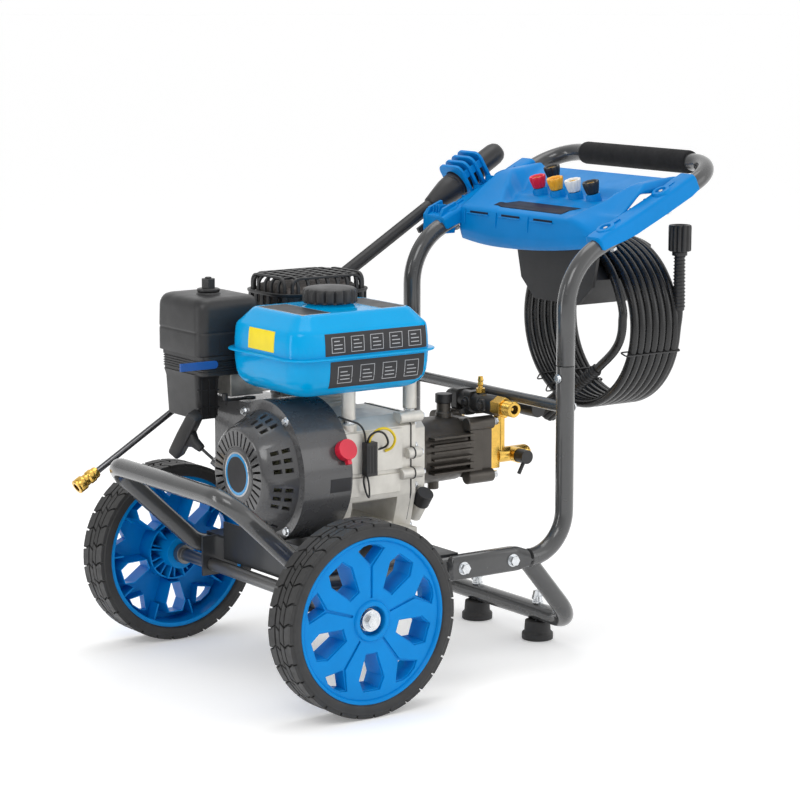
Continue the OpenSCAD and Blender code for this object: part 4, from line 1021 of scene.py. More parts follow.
def make_silencer():
    """Two pressed halves with a rolled seam, over the flanged exhaust pipe."""
    shape = Shape()
    rows = [(408, 112, 76, 18), (409, 122, 86, 24), (413, 131, 95, 28), (420, 134, 98, 30),
            (455, 134, 98, 30), (456, 138, 102, 32), (459, 138, 102, 32), (460, 134, 98, 30),
            (496, 134, 98, 30), (502, 131, 95, 28), (506, 122, 86, 24), (508, 108, 72, 18)]
    shape.stack(rows, (180, 160))
    shape.revolve([(11, 0), (13, 0), (13, 28), (11, 28)], place((172, 150, 382), Z, X), 40)
    for z in (430, 480):
        shape.stack([(z - 3, 134, 98, 30), (z - 1, 136.4, 100.4, 30), (z + 1, 136.4, 100.4, 30),
                     (z + 3, 134, 98, 30)], (180, 160))
    flange = place((172, 150, 0), Z, X)
    shape.prism(rounded(46, 36, 6), flange, 382, 386)
    shape.finish("silencer_shell", "frame", "exhaust_steel", replaces=("muffler",), smooth=40)


make_filter_cover()
make_filter_base()
make_filter_nut()
make_guard()
make_silencer()

# ---------------------------------------------------------------- recoil starter
CRANK = (15, 275)
ROPE_OUT = Vector((-17, 92, 282))
ROPE_DIR = Vector((-30, 50, 44)).normalized()
GRIP_AT = ROPE_OUT + ROPE_DIR * 54


def make_badge():
    """Plain round badge on the starter's hub: silver rim, blue ring and dark disc."""
    face = place((-26, *CRANK), -X, Z)
    Shape().revolve([(0, -1), (37.4, -1), (37.8, 0.4), (36.6, 1.3), (34.8, 1.5), (34, 0.9),
                     (0, 0.9)], face, 96).finish(
        "starter_hub_ring", "frame", "shroud_paint", smooth=35)
    Shape().revolve([(28.2, 0.5), (30.6, 0.5), (30.6, 1.4), (29.8, 1.9), (28.9, 1.9),
                     (28.2, 1.4)], face, 96).finish(
        "badge_rim", "frame", None, "label_silver", smooth=35)
    Shape().revolve([(24.4, 0.5), (28.3, 0.5), (28.3, 1.55), (24.4, 1.55)], face, 96).finish(
        "badge_ring", "frame", None, "badge_blue", smooth=35)
    Shape().revolve([(0, 0.4), (24.5, 0.4), (24.5, 1.5), (12, 1.8), (0, 1.9)], face,
                    96).finish("badge_disc", "frame", None, "label_dark", smooth=35)


def make_starter_grip():
    """T-shaped pull: a flattened bar on a flaring neck, and the rope that follows it."""
    across = X.cross(ROPE_DIR).normalized()
    bar = place(GRIP_AT, across, ROPE_DIR)
    shape = Shape()
    rows = [(-41, 6.6, 7.4), (-40.4, 8.4, 9.2), (-38, 9, 9.8), (-20, 9.4, 10), (0, 9.6, 10.4),
            (20, 9.4, 10), (38, 9, 9.8), (40.4, 8.4, 9.2), (41, 6.6, 7.4)]
    shape.loft([ring_at(bar, rounded(2 * a, 2 * b, 3.4, 5), h) for h, a, b in rows])
    neck = place(GRIP_AT - ROPE_DIR * 30, ROPE_DIR, across)
    shape.loft([ring_at(neck, rounded(w, d, min(w, d) * 0.4, 5), h) for h, w, d in (
        (0, 11, 9), (1, 12, 10), (12, 16, 11), (20, 30, 12), (25, 46, 13))])
    shape.revolve([(2.6, -1), (5.4, -1), (5.8, 0.5), (5.8, 2), (2.6, 2)], neck, 32)
    shape.finish("starter_pull", "recoil_grip", "black_plastic", replaces=("recoil_grip",),
                 smooth=45)
    rope = Shape()
    inner, outer = ROPE_OUT - ROPE_DIR * 14, GRIP_AT - ROPE_DIR * 28
    rope.sweep([inner.lerp(outer, k / 40) for k in range(41)], 2.1, 14)
    line = rope.finish("starter_rope", None, None, "black_plastic", smooth=60)
    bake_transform(line)


def make_shroud_label():
    """Plain dark patch on the shroud's near side."""
    shape = Shape()
    radius = (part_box("fan_shroud")[1].z - CRANK[1] * MM) / MM

    def shroud_point(x, angle, lift):
        a = math.radians(angle)
        return (x, CRANK[0] - (radius + lift) * math.cos(a), CRANK[1] + (radius + lift) * math.sin(a))

    patch(shape, shroud_point, steps(60, 93, 6), steps(-12, -1, 10))
    shape.finish("shroud_patch", "frame", None, "label_dark", smooth=50)


def make_wheel_nuts():
    """Washer and lock nut on each end of the axle."""
    for end, side in (("near", -1), ("far", 1)):
        face = place((0, side * TRACK / 2, AXLE_Z), (0, side, 0))
        shape = Shape()
        shape.revolve([(9, -14.6), (15, -14.6), (15, -12.8), (9, -12.8)], face, 48)
        shape.prism(ring_of(12.4, 6), face, -12.8, -6)
        shape.revolve([(0, -7), (7.6, -7), (7.6, -4.4), (6.6, -3.4), (0, -3.4)], face, 32)
        shape.finish("wheel_nut_" + end, "frame", "zinc", bevel=0.5, smooth=35)


make_badge()
make_starter_grip()
make_shroud_label()
make_wheel_nuts()

# ---------------------------------------------------------------- engine block
CASE_X0, CASE_X1 = 95, 206
CASE_FLOOR = 232


def make_crankcase():
    """Casting with an arched underside, a stepped near wall, feet, tank posts and bosses."""
    shape = Shape()
    lengthwise = place((0, 0, 0), X, Y)
    upper = [(-59, CASE_FLOOR), (-60, 236), (-60, 330), (-44, 345), (50.9, 345),
             (91.5, 257.7), (80, 236), (79, CASE_FLOOR)]
    shape.prism(upper, lengthwise, CASE_X0, CASE_X1)
    end_web = [(-46, 184), (-58, 224), (-59.5, 236), (79.5, 236), (76, 220), (70, 184)]
    shape.prism(end_web, lengthwise, CASE_X0, 110)
    shape.prism(end_web, lengthwise, 184, CASE_X1)
    shape.stack([(224.6, 66, 86, 14), (226, 70, 92, 16), (234, 76, 104, 20)], (148, 10))
    base = place((0, 0, 0), Z, X)
    shape.prism([(100, -78), (204, -78), (204, 96), (100, 96)], base, 180, 191)
    shape.prism([(106, -47), (200, -47), (200, 72), (106, 72)], base, 180, 196)
    for x0, x1, low, high in ((97, 186, 240, 266), (97, 190, 272, 328)):
        shape.block((x0, -63.2, low), (x1, -58, high))
    for x, foot, top in ((110, 330, 388), (211, 336, 396)):
        post = place((x, -50, 0), Z, X)
        shape.revolve([(0, foot + 16), (9.6, foot + 16), (9.6, top), (0, top)], post, 40)
        shape.revolve([(0, foot), (11.6, foot), (11.6, foot + 9), (10.4, foot + 10.4),
                       (0, foot + 10.4)], post, 40)
    for y, z, x0, x1 in ((-62, 342, 184, 222), (-64, 292, 196, 219), (-64, 264, 186, 222)):
        boss = place((x0, y, z), X, Z)
        shape.revolve([(0, 0), (6.6, 0), (7.6, 1), (7.6, x1 - x0 - 1), (6.8, x1 - x0),
                       (0, x1 - x0)], boss, 32)
        shape.block((x0 + 2, y, z - 6), (x1 - 2, y + 16, z + 6))
    shape.finish("crankcase_casting", "frame", "cast_alloy", replaces=("crankcase",), bevel=1.4,
                 smooth=40)
    bolts = Shape()
    for y, z, x1 in ((-62, 342, 222), (-64, 264, 222), (-64, 292, 219)):
        head = place((x1, y, z), X, Z)
        bolts.revolve([(0, -2), (4.8, -2), (4.8, 0.6), (3, 0.8), (0, 0.8)], head, 24)
        bolts.prism(ring_of(4.4, 6), head, 0.4, 4.2, 0.94)
    for x, foot in ((110, 340), (211, 346)):
        stud = place((x, -50, foot), Z, X)
        bolts.revolve([(0, 0), (9, 0), (9, 1.4), (5, 1.6), (5, 6.2), (0, 6.2)], stud, 24)
        bolts.prism(ring_of(7.4, 6), stud, 1.2, 5.2, 0.96)
    bolts.finish("case_bolts", "frame", "zinc", bevel=0.3, smooth=35)
    seal = Shape()
    outline = [(-45.8, 184), (-60.9, 236), (-60.9, 330.4), (-44.4, 345.9), (51.5, 345.9),
               (92.5, 257.7), (80.9, 236), (70.8, 184)]
    seal.prism(outline, lengthwise, CASE_X1 - 0.8, CASE_X1 + 0.8)
    for z in (264, 292):
        seal.revolve([(0, -0.8), (8.5, -0.8), (8.5, 0.8), (0, 0.8)],
                     place((CASE_X1, -64, z), X, Z), 32)
    seal.finish("case_gasket", "frame", None, "gasket", smooth=35)


def make_oil_sensor():
    """Slim module with grooved faces, and its yellow and black leads."""
    box = Shape()
    middle = place((132, -69, 0), Z, X)
    box.prism(rounded(19, 12, 2), middle, 269, 315)
    for x in (126, 131, 136):
        box.block((x, -75.8, 273), (x + 1.6, -74.6, 311))
    box.finish("oil_alert_case", "frame", "black_plastic", replaces=("oil_alert_unit",),
               bevel=0.8, smooth=40)
    for name, finish_name, size, ends in (
            ("oil_lead_yellow", "wire_yellow", 1.9,
             [(131, -68, 312), (133, -70, 322), (141, -73, 331), (152, -76, 333),
              (163, -76, 327), (170, -74, 316), (168, -69, 304), (160, -64, 299)]),
            ("oil_lead_black", "black_plastic", 1.5,
             [(128, -68, 312), (130, -72, 324), (139, -77, 330), (149, -79, 326),
              (157, -76, 314), (158, -68, 306), (150, -62, 302)]),
            ("oil_lead_upper", "black_plastic", 1.4,
             [(126, -68, 312), (122, -70, 330), (112, -72, 342), (98, -68, 348),
              (90, -56, 352)]),
            ("oil_lead_lower", "black_plastic", 1.3,
             [(124, -68, 272), (121, -70, 262), (124, -72, 246), (130, -70, 240),
              (131, -68, 256), (128, -67, 271)])):
        Shape().sweep(smooth_line(ends, 6), size, 12).finish(name, "frame", None, finish_name,
                                                            smooth=60)


UNLOAD_X, UNLOAD_Z = 353.5, 342


def make_unloader():
    """Valve block along the pump's head, with its side port, foot and knob seat."""
    shape = Shape()
    body = place((UNLOAD_X, 0, UNLOAD_Z), -Y, Z)
    shape.revolve([(0, -50), (9.5, -50), (11, -48.5), (11, -36), (13, -34.5), (14, -33),
                   (14, 30), (12.6, 31), (12.6, 37), (14, 38), (14, 60), (13, 62), (0, 62)],
                  body, 56)
    for h in (-22, 8):
        shape.prism(rounded(30, 30, 5), body, h - 7, h + 7)
    shape.prism(rounded(16, 20, 3), place((UNLOAD_X, 10, 0), Z, X), 321, 336)
    seat = place((428, 0, 330), -Y, Z)
    shape.revolve([(5.2, -6), (10, -6), (11, -5), (11, 23), (10, 24), (5.2, 24)], seat, 40)
    shape.revolve([(0, -5.9), (5.6, -5.9), (5.6, 7.9), (0, 7.9)], seat, 32)
    arm = Vector((428 - 9, -10, 330)) - Vector((UNLOAD_X, -10, 333))
    shape.revolve([(0, 0), (9, 0), (9, arm.length), (0, arm.length)],
                  place((UNLOAD_X, -10, 333), arm, Z), 36)
    shape.finish("unloader_block", "frame", "unloader_black", replaces=("unloader",), bevel=0.7,
                 smooth=38)


def make_outlet():
    """Brass hexagon, threaded hose outlet and detergent barb on the unloader."""
    shape = Shape()
    out = place((UNLOAD_X, -60, UNLOAD_Z), -Y, Z)
    shape.prism(ring_of(14.6, 6), out, 1, 21.3)
    thread = [(6.2, 41), (10, 41), (11.2, 40)]
    for k in range(11):
        thread += [(11.3, 39.2 - 1.5 * k), (10.5, 38.5 - 1.5 * k)]
    shape.revolve(thread + [(9.6, 22), (9.6, 20), (6.2, 20)], out, 48)
    shape.revolve([(0, 20), (5.9, 20), (5.9, 30), (2.6, 31), (2.2, 36), (0, 36)], out, 32)
    barb = place((UNLOAD_X, -22, UNLOAD_Z), Z, X)
    shape.prism(ring_of(7.2, 6), barb, 14, 20.4)
    shape.revolve([(0, 19), (3.7, 19), (3.3, 24), (4.3, 25), (3.4, 30), (4.3, 31), (3.2, 37.2),
                   (1.4, 37.2), (1.4, 34), (0, 34)], barb, 28)
    shape.finish("outlet_brass", "frame", "brass", bevel=0.5, smooth=35)
    dark = Shape()
    dark.revolve([(0, 30), (6.2, 30), (6.2, 33), (0, 33)], out, 32)
    for y in (-44, -8):
        plug = place((UNLOAD_X, y, UNLOAD_Z), -X, Z)
        dark.revolve([(0, 8), (8.5, 8), (8.5, 15.5), (7.5, 16.5), (0, 16.5)], plug, 32)
        dark.prism(ring_of(5.6, 6), plug, 16, 21, 0.95)
    dark.finish("unloader_plugs", "frame", "unloader_black", bevel=0.4, smooth=35)


PUMP = (0, 15, 275)
HEAD_BOLTS = [(y, z) for y in (-40, 40) for z in (-38, 38)]


def make_pump():
    """Finned barrel between a round flange and a head with four bolt bosses."""
    axis = place(PUMP, X, Z)
    shape = Shape()
    shape.revolve([(0, 238.3), (57.4, 238.3), (58, 239), (58, 245), (56.8, 246.4), (51, 247),
                   (48.4, 250), (47, 258), (46.4, 300), (46, 326), (44, 334), (0, 334)], axis, 96)
    for k in range(6):
        lift = -25 + 10 * k
        for side in (-1, 1):
            y0, y1 = sorted((side * 36, side * 53.5))
            shape.block((lift - 1.5, y0, 262), (lift + 1.5, y1, 332), axis)
    for a in range(0, 360, 60):
        shape.block((46, -6, 238.5), (56.5, 6, 254), turned(axis, a + 30))
    shape.prism(rounded(82, 88, 14), axis, 331, 352)
    shape.prism(rounded(74, 80, 9), axis, 352, 371.7)
    for y, z in HEAD_BOLTS:
        boss = place((326, PUMP[1] + y, PUMP[2] + z), X, Z)
        shape.revolve([(0, 0), (8.6, 0), (9.8, 1.4), (9.8, 44.4), (8.8, 45.6), (0, 45.6)], boss,
                      32)
    neck = place((316, PUMP[1], 0), Z, X)
    shape.revolve([(0, 312), (13, 312), (12, 326), (10, 328), (10, 340), (0, 340)], neck, 40)
    drain = place((298, PUMP[1], 0), Z, X)
    shape.revolve([(0, 218), (7, 218), (8, 219), (8, 232), (0, 232)], drain, 32)
    shape.finish("pump_casting_shape", "frame", "pump_casting", replaces=("pump_body",),
                 bevel=1.0, smooth=38)


make_crankcase()
make_oil_sensor()
make_unloader()
make_outlet()
make_pump()

# ---------------------------------------------------------------- console
CONSOLE_HALF = 167
ARM_U = Vector((math.cos(HANDLE_RISE), 0, math.sin(HANDLE_RISE)))
ARM_N = Vector((-math.sin(HANDLE_RISE), 0, math.cos(HANDLE_RISE)))
FLOOR_LINE = [(458, 600), (464, 603.6), (474, 606.5), (478, 608.6), (503, 612.6), (506, 614.5),
              (511, 619.6), (514, 620.6), (532, 621.4), (538, 623), (552, 636), (560, 639.6),
              (598, 654)]


def along_line(line, x):
    for (x0, z0), (x1, z1) in zip(line, line[1:]):
        if x <= x1:
            return z0 + (z1 - z0) * (x - x0) / (x1 - x0)
    return line[-1][1]


def soft_min(a, b, k=4.0):
    h = max(0.0, min(1.0, 0.5 + 0.5 * (b - a) / k))
    return b + (a - b) * h - k * h * (1 - h)


def soft_max(a, b, k=4.0):
    return -soft_min(-a, -b, k)


def lip_height(y):
    """The front wall hangs lowest towards the gun's side and sweeps up at the other end."""
    return 546 + (10 * ((y - 83) / 108) ** 2 if y > 83 else 7 * ((83 - y) / 138) ** 2)


def edge_height(y):
    """Height of the front wall's upper edge."""
    drop = max(0.0, min(1.0, (-86 - y) / 60))
    return 600 - 15 * drop * drop * (3 - 2 * drop)


def console_height(x, y):
    """The tray's upper surface: a floor between two bolsters that rise backwards."""
    floor = along_line(FLOOR_LINE, x) + (edge_height(y) - 600) * max(0, 1 - (x - 458) / 20)
    foot = edge_height(y) - 1
    crest = foot + (x - 458) * (652.5 - foot) / 72
    crest = soft_min(crest, 651.5 + (x - 530) * 0.12, 6)
    inner = 78 + (x - 458) * 0.5
    side = floor - 2 + (abs(y) - inner) * 1.25
    raised = soft_min(crest, side, 6)
    outer_slope = 652 + (CONSOLE_HALF - 6 - abs(y)) * 2.2
    return soft_max(floor, soft_min(raised, outer_slope, 6), 5)


def grid_piece(rows, name, slot, thickness, **looks):
    """A skin through rows of points, given thickness downwards."""
    shape = Shape()
    verts = [[shape.mesh.verts.new(p) for p in row] for row in rows]
    for low, high in zip(verts, verts[1:]):
        for k in range(len(low) - 1):
            shape.mesh.faces.new((low[k], low[k + 1], high[k + 1], high[k]))
    obj = shape.finish(name, "frame", slot, **looks)
    skin = obj.modifiers.new("thickness", "SOLIDIFY")
    skin.thickness = thickness * MM
    skin.offset = -1
    return obj


def make_tray():
    """The console's moulded skin, its dark panel, the beads of its front wall, and dark navy blocks
    on that wall that paint the shade inside its slots.
    """
    rows = []
    columns = [459.4, 461.5, 464.5, 468, 472, 475.5] + [479 + 3.5 * i for i in range(35)]
    stations = [-CONSOLE_HALF + 3.34 * i for i in range(101)]
    for y in stations:
        lip, edge = lip_height(y), edge_height(y)
        row = [(464, y, lip + 1.5), (462, y, lip), (460.2, y, lip + 0.8),
               (457.6, y, lip + 8), (456, y, lip + 14), (455.4, y, lip + 18),
               (455.6, y, (lip + 18 + edge - 8) / 2), (456, y, edge - 8), (456.5, y, edge - 3),
               (457.3, y, edge - 1)]
        row += [(x, y, console_height(x, y)) for x in columns if x < 598]
        row += [(598, y, console_height(598, y)), (599, y, console_height(598, y) - 1.5),
                (599, y, console_height(598, y) - 6)]
        rows.append(row)
    grid_piece(rows, "console_tray", "console_plastic", 3, replaces=("console",), smooth=62)

    label = []
    for i in range(15):
        x = 466 + 30 * i / 14
        far, near = 98 - 22 * i / 14, -58 - 8 * i / 14
        label.append([(x, far + (near - far) * j / 40,
                       console_height(x, far + (near - far) * j / 40) + 0.5)
                      for j in range(41)])
    grid_piece(label, "console_panel", None, 0.6, material_name="label_navy", smooth=60)

    pockets = Shape()
    dark = Shape()
    for y in (124, 49, -26):
        z = edge_height(y) - 6
        # Each slot is a dark navy block on the wall's face: painted shade standing for the slot's
        # shaded inside, not an opening.
        dark.block((454.9, y - 25, z - 2.2), (457, y + 17, z + 1.2))
        bead = [(455.4, y + 29, z + 3), (455, y + 30, z - 4), (455, y + 30.5, z - 12),
                (455, y + 30, z - 20)]
        pockets.sweep(bead, [0.5, 1.3, 1.2, 0.4], 10)
        shelf = [(454.6, y + 24, z - 2.6), (454.6, y - 27, z - 2.6)]
        pockets.sweep(shelf, 0.9, 10)
    pockets.finish("console_beads", "frame", "console_plastic", smooth=60)
    # The slots' dark navy blocks are painted shade, in the label_navy finish.
    dark.finish("console_slot_shade", "frame", None, "label_navy", bevel=0.4, smooth=30)


def arch(half, top, foot, r):
    """The outside of a section from foot to foot, over a top with corners of radius r."""
    turns = [math.radians(18 * k) for k in range(1, 5)]
    left = [(-half + r - r * math.cos(a), top - r + r * math.sin(a)) for a in turns]
    right = [(half - r + r * math.sin(a), top - r + r * math.cos(a)) for a in turns]
    return ([(-half, foot), (-half, top - r)] + left + [(-half + r, top), (half - r, top)]
            + right + [(half, top - r), (half, foot)])


def arm_cover_section(half, top, foot, tube):
    """Outline across an arm: a rounded box outside, the tube's channel inside."""
    inner = [(tube * math.cos(math.radians(15 * k)), tube * math.sin(math.radians(15 * k)))
             for k in range(13)]
    return arch(half, top, foot, 7) + [(tube, foot)] + inner + [(-tube, foot)]


def make_arm_covers():
    """The console's side channels over the handle's arms, with two screw bosses each."""
    shape = Shape()
    wells = Shape()
    for s in (-1, 1):
        start = Vector((430, s * POST_Y, arm_z(430)))
        arm = place(start, ARM_U, Y)
        sections = [(0, 15.6, 15.5, -1), (1.2, 17, 17, -2), (14, 17.2, 18, -3),
                    (40, 17.2, 16.5, -7), (60, 17.2, 16, -9), (120, 17.2, 16, -9),
                    (170, 17.2, 18, -8), (186, 17.2, 18, -5), (187.6, 15.6, 16.5, -4)]
        shape.loft([ring_at(arm, arm_cover_section(half, top, foot, TUBE_R + 0.15), u)
                    for u, half, top, foot in sections])
        for x in (454, 552):
            seat = place((x, s * POST_Y, arm_z(x)), ARM_N, Y)
            shape.revolve([(4.6, 10), (15, 10), (14.2, 17.5), (12.6, 19.6), (9.6, 20.2),
                           (8, 19.8), (7.4, 18.6), (7, 16), (4.6, 15.6)], seat, 40)
            wells.revolve([(0, 12), (5, 12), (5, 15.9), (2.6, 15.9), (2.4, 14.8), (0, 14.8)],
                          seat, 24)
            rib = place((x, s * POST_Y, arm_z(x)), ARM_N, ARM_U)
            shape.block((12, -1.4, 12), (27, 1.4, 18.4), rib)
        for u in (64, 92, 120):
            inner = Vector((430, s * 163, arm_z(430))) + ARM_U * u
            shape.sweep([inner + ARM_N * 6, inner + ARM_N * 10 - Y * s * 6], 2, 10)
    shape.finish("console_arm_covers", "frame", "console_plastic", smooth=40)
    wells.finish("console_screws", "frame", "zinc", smooth=40)


GUN_RISE = math.radians(30.9)
GUN_TIP = Vector((-155, 232, 236))
GUN_DIR = Vector((math.cos(GUN_RISE), 0, math.sin(GUN_RISE)))


def gun_place(s):
    """Local X runs to +Y, Y runs up from the gun and Z along it, at a distance from its tip."""
    return place(GUN_TIP + GUN_DIR * s, GUN_DIR, Y)


def gun_loop(half, top, foot, bore, slot):
    """Outline of a holster rib: a ring round the gun, slotted underneath for its trigger."""
    low = -math.sqrt(bore * bore - slot * slot)
    a0 = math.atan2(low, slot)
    inner = [(slot, foot)]
    span = 2 * math.pi - 2 * (math.pi / 2 + a0)
    inner += [(bore * math.cos(a0 + span * k / 24), bore * math.sin(a0 + span * k / 24))
              for k in range(25)]
    return arch(half, top, foot, 12) + inner + [(-slot, foot)]


def make_holster():
    """Four ribs round the gun with their ties and floor, and the bracket that steadies the lance."""
    shape = Shape()
    outline = gun_loop(28.5, 31, -38, 22.2, 10.5)
    for s in (760, 773, 786, 799):
        shape.loft([ring_at(gun_place(s), [(a * k, b * k) for a, b in outline], h)
                    for h, k in ((0, 0.985), (0.8, 1), (4.4, 1), (5.2, 0.985))])
    for low, high in (((-26, 8, 4), (-23.4, 20, 42)), ((23.4, 8, 4), (26, 20, 42)),
                      ((-27.5, -37, 1), (-11.5, -33, 44)), ((-26, -33, 4), (-23.6, -12, 42))):
        shape.block(low, high, gun_place(760))
    floor = [(470, 160, 598), (548, 160, 650), (548, 204, 634), (478, 204, 600)]
    shape.loft([[Vector(p) + Z * h for p in floor] for h in (-5, 0)])
    for k in range(3):
        x = 486 + 22 * k
        z = 603 + 14 * k
        shape.block((x, 166, z), (x + 3, 204, z + 9))
    bracket = [(424, 560), (450, 560), (456, 590), (452, 606), (430, 597), (424, 586)]
    for y0, y1, cut in ((172, 178, 0), (178, 206, 8), (206, 212, 0), (212, 216, 3)):
        shape.loft([[(x, y, z - (cut if z > 590 else 0)) for x, z in bracket]
                    for y in (y0, y1)])
    for k in range(3):
        y = 184 + 7 * k
        shape.block((430, y, 580), (448, y + 2, 601))
    shape.finish("console_holster", "frame", "console_plastic", bevel=0.5, smooth=38)


make_tray()
make_arm_covers()
make_holster()

# ---------------------------------------------------------------- nozzles
NOZZLE_TILT = math.radians(15)
NOZZLE_DIR = Vector((-math.sin(NOZZLE_TILT), 0, math.cos(NOZZLE_TILT)))


def make_nozzle(node, foot, slot):
    """Quick-fit nozzle: a scalloped flaring cup round a metal insert, on its spigot."""
    axis = place(foot, NOZZLE_DIR, X)
    cup = Shape()
    rows = [(8.2, 1.5, 0), (9.2, 2.5, 0.4), (10.4, 7, 1.2), (11.8, 13, 1.8), (12.3, 17.4, 1.8),
            (11.9, 18.6, 1.4), (10.6, 18.8, 0.6)]
    outer = [ring_at(axis, lobed(r, depth, 8, 96, 3), h) for r, h, depth in rows]
    inner = [ring_at(axis, ring_of(r, 96), h) for r, h in ((8.6, 18), (7.6, 15.6), (6.4, 15.2))]
    cup.loft(outer + inner)
    cup.finish(node + "_cup", BODY_OF[node], slot, replaces=(node,), bevel=0.3, smooth=40)
    insert = Shape()
    insert.revolve([(0, 10), (6.6, 10), (6.6, 15.4), (5.8, 16.4), (3.2, 16.4), (2.8, 14.6),
                    (0, 14.6)], axis, 36)
    insert.revolve([(0, -12), (4.8, -12), (5.2, -11.4), (5.2, -6), (4.4, -5.4), (4.4, -3.4),
                    (5.6, -2.6), (5.6, 3), (0, 3)], axis, 36)
    insert.finish(node + "_insert", BODY_OF[node], "brass", smooth=35)
    seat = Shape()
    seat.revolve([(6.2, -24), (13, -24), (11.4, -14), (10.6, -1), (10, 0.8), (7, 0.8),
                  (6.2, 0)], axis, 48)
    seat.finish(node + "_seat", "frame", "console_plastic", smooth=40)


for node, foot, slot in (("nozzle_red", (521.5, 61.05, 630.5), "switch_red"),
                         ("nozzle_yellow", (521.5, 20.35, 630.5), "nozzle_yellow"),
                         ("nozzle_white", (521.5, -20.35, 630.5), "nozzle_white"),
                         ("nozzle_black", (521.5, -61.05, 630.5), "black_plastic"),
                         ("nozzle_soap", (552.5, 67, 643), "black_plastic")):
    make_nozzle(node, foot, slot)

# ---------------------------------------------------------------- spray gun
def make_gun():
    """Moulded grip on the lance's sleeve: tapered nose, waisted hold and a round butt."""
    shape = Shape()
    rows = [(702, 10.4, 10.4), (703, 11.6, 11.6), (706, 12.2, 12.4), (714, 13.6, 14.2),
            (726, 16.4, 17), (738, 19, 19.4), (746, 20, 20), (780, 20, 20), (795, 19.9, 19.9),
            (803, 18.4, 18.4), (809, 17, 17), (830, 16.8, 16.8), (841, 16.4, 16.6),
            (848, 14.6, 14.8), (852, 11.6, 12), (854, 7, 7)]
    m = gun_place(0)
    shape.loft([ring_at(m, [(a * w, b * h) for a, b in ring_of(1, 48)], s) for s, w, h in rows])
    for x in (-6, 2.8):
        shape.block((x, -26, 694), (x + 3.2, -8, 728), m)
    for k in range(7):
        shape.revolve([(20, 0), (20.55, 0.6), (20.55, 1.8), (20, 2.4)], gun_place(751 + 5 * k),
                      48)
    shape.finish("gun_grip", "gun", "black_plastic", replaces=("gun_body",), smooth=45)


def make_lance():
    """Bright tube in a plastic sleeve, with a brass coupler at its tip."""
    tube = Shape()
    tube.revolve([(0, 30), (4.3, 30), (4.5, 30.5), (4.5, 497), (0, 497)], gun_place(0), 32)
    tube.finish("lance_tube", "gun", "lance_steel", replaces=("lance",), smooth=40)
    sleeve = Shape()
    profile = [(0, 495), (5.4, 495), (8.2, 497), (9.3, 501), (9.5, 506), (9.5, 700), (9.3, 726),
               (0, 726)]
    sleeve.revolve(profile, gun_place(0), 40)
    for a in range(0, 360, 45):
        sleeve.prism([(8.6, -1), (9.9, -0.6), (9.9, 0.6), (8.6, 1)], turned(gun_place(0), a),
                     512, 690)
    sleeve.finish("lance_sleeve", "gun", "black_plastic", smooth=40)
    tip = Shape()
    tip.revolve([(6, 0), (9.6, 0), (10.4, 0.8), (10.5, 2.4), (9.9, 3.4), (10.5, 4.4),
                 (10.5, 12.6), (9.8, 14), (8.5, 14.8), (8.5, 19), (8.1, 20), (8.5, 21),
                 (9.4, 22), (9.6, 23), (9.6, 29), (9.2, 30), (8.4, 30.6), (8.2, 36),
                 (7, 38), (4.4, 38), (4.4, 21), (6, 21)], gun_place(0), 48)
    for a in range(0, 360, 15):
        tip.prism([(10, -0.5), (10.5, -0.3), (10.5, 0.3), (10, 0.5)], turned(gun_place(0), a),
                  5, 12)
    tip.finish("lance_coupler", "gun", "brass", smooth=35)


make_gun()
make_lance()

# ---------------------------------------------------------------- hose fittings, ties
def fitting(shape, m):
    """Ribbed bend restrictor and a grooved hand nut."""
    shape.revolve([(0, 0), (7.6, 0), (8.2, 1), (7.6, 40), (7.2, 79.6), (0, 79.6)], m, 32)
    turns, per_turn = 15, 20
    line = []
    for k in range(turns * per_turn + 1):
        a = 2 * math.pi * k / per_turn
        h = 1.6 + 76.5 * k / (turns * per_turn)
        r = 8.3 - 0.9 * h / 80
        line.append(m @ Vector((r * math.cos(a), r * math.sin(a), h)))
    shape.sweep(line, 1.15, 8)
    shape.revolve([(7, 79), (10.4, 79), (11, 79.8), (11, 84.4), (10.4, 85.5), (7, 85.5)], m, 40)
    rows = [(13.4, 85, 0), (15.8, 85.6, 1.6), (16.4, 87, 2.4), (16.5, 119.6, 2.4),
            (16.2, 122, 1.8), (15.2, 123, 0.6)]
    outside = [ring_at(m, lobed(r, d, 12, 144, 3.0), h) for r, h, d in rows]
    inside = [ring_at(m, ring_of(r, 144), h)
              for r, h in ((12.2, 123), (11, 122), (11, 99), (10.8, 92))]
    shape.loft(outside + inside)


def make_fittings():
    shape = Shape()
    fitting(shape, place(REAR_FIT, Z, X))
    fitting(shape, place(FRONT_FIT, FRONT_DIR))
    return shape.finish("hose_ends", "frame", "fitting_plastic", replaces=("hose_fittings",),
                        smooth=45)


def make_ties():
    """Cable ties round the coil's turns."""
    shape = Shape()
    inner, outer = COIL_R - HOSE_D / 2 - 0.9, COIL_R + HOSE_D / 2 + 0.9
    x0, x1 = COIL_X0 - 0.9, COIL_X0 + TURNS * HOSE_D + HOSE_D + 0.9
    for angle in (-48, 196, 300):
        a = math.radians(angle)
        radial = Vector((0, math.cos(a), math.sin(a)))
        corners = [(inner, x0), (outer, x0), (outer, x1), (inner, x1)]
        corners = [(Vector((x, 0, COIL_Z)) + radial * r) for r, x in corners]
        line = []
        for i, c in enumerate(corners):
            before, after = corners[i - 1], corners[(i + 1) % 4]
            u, w = (before - c).normalized(), (after - c).normalized()
            for k in range(5):
                t = k / 4
                line.append((c + u * 5 * (1 - t)).lerp(c + w * 5 * t, t))
        shape.sweep(line, 1.1, 8, closed=True)
        head = corners[3].lerp(corners[2], 0.5)
        shape.sweep([head + radial * 2 - X * 1, head - radial * 5 + X * 1], 1.9, 8)
    return shape.finish("hose_ties", "frame", None, "black_plastic", smooth=50)


hose_ends = make_fittings()
hose_ties = make_ties()

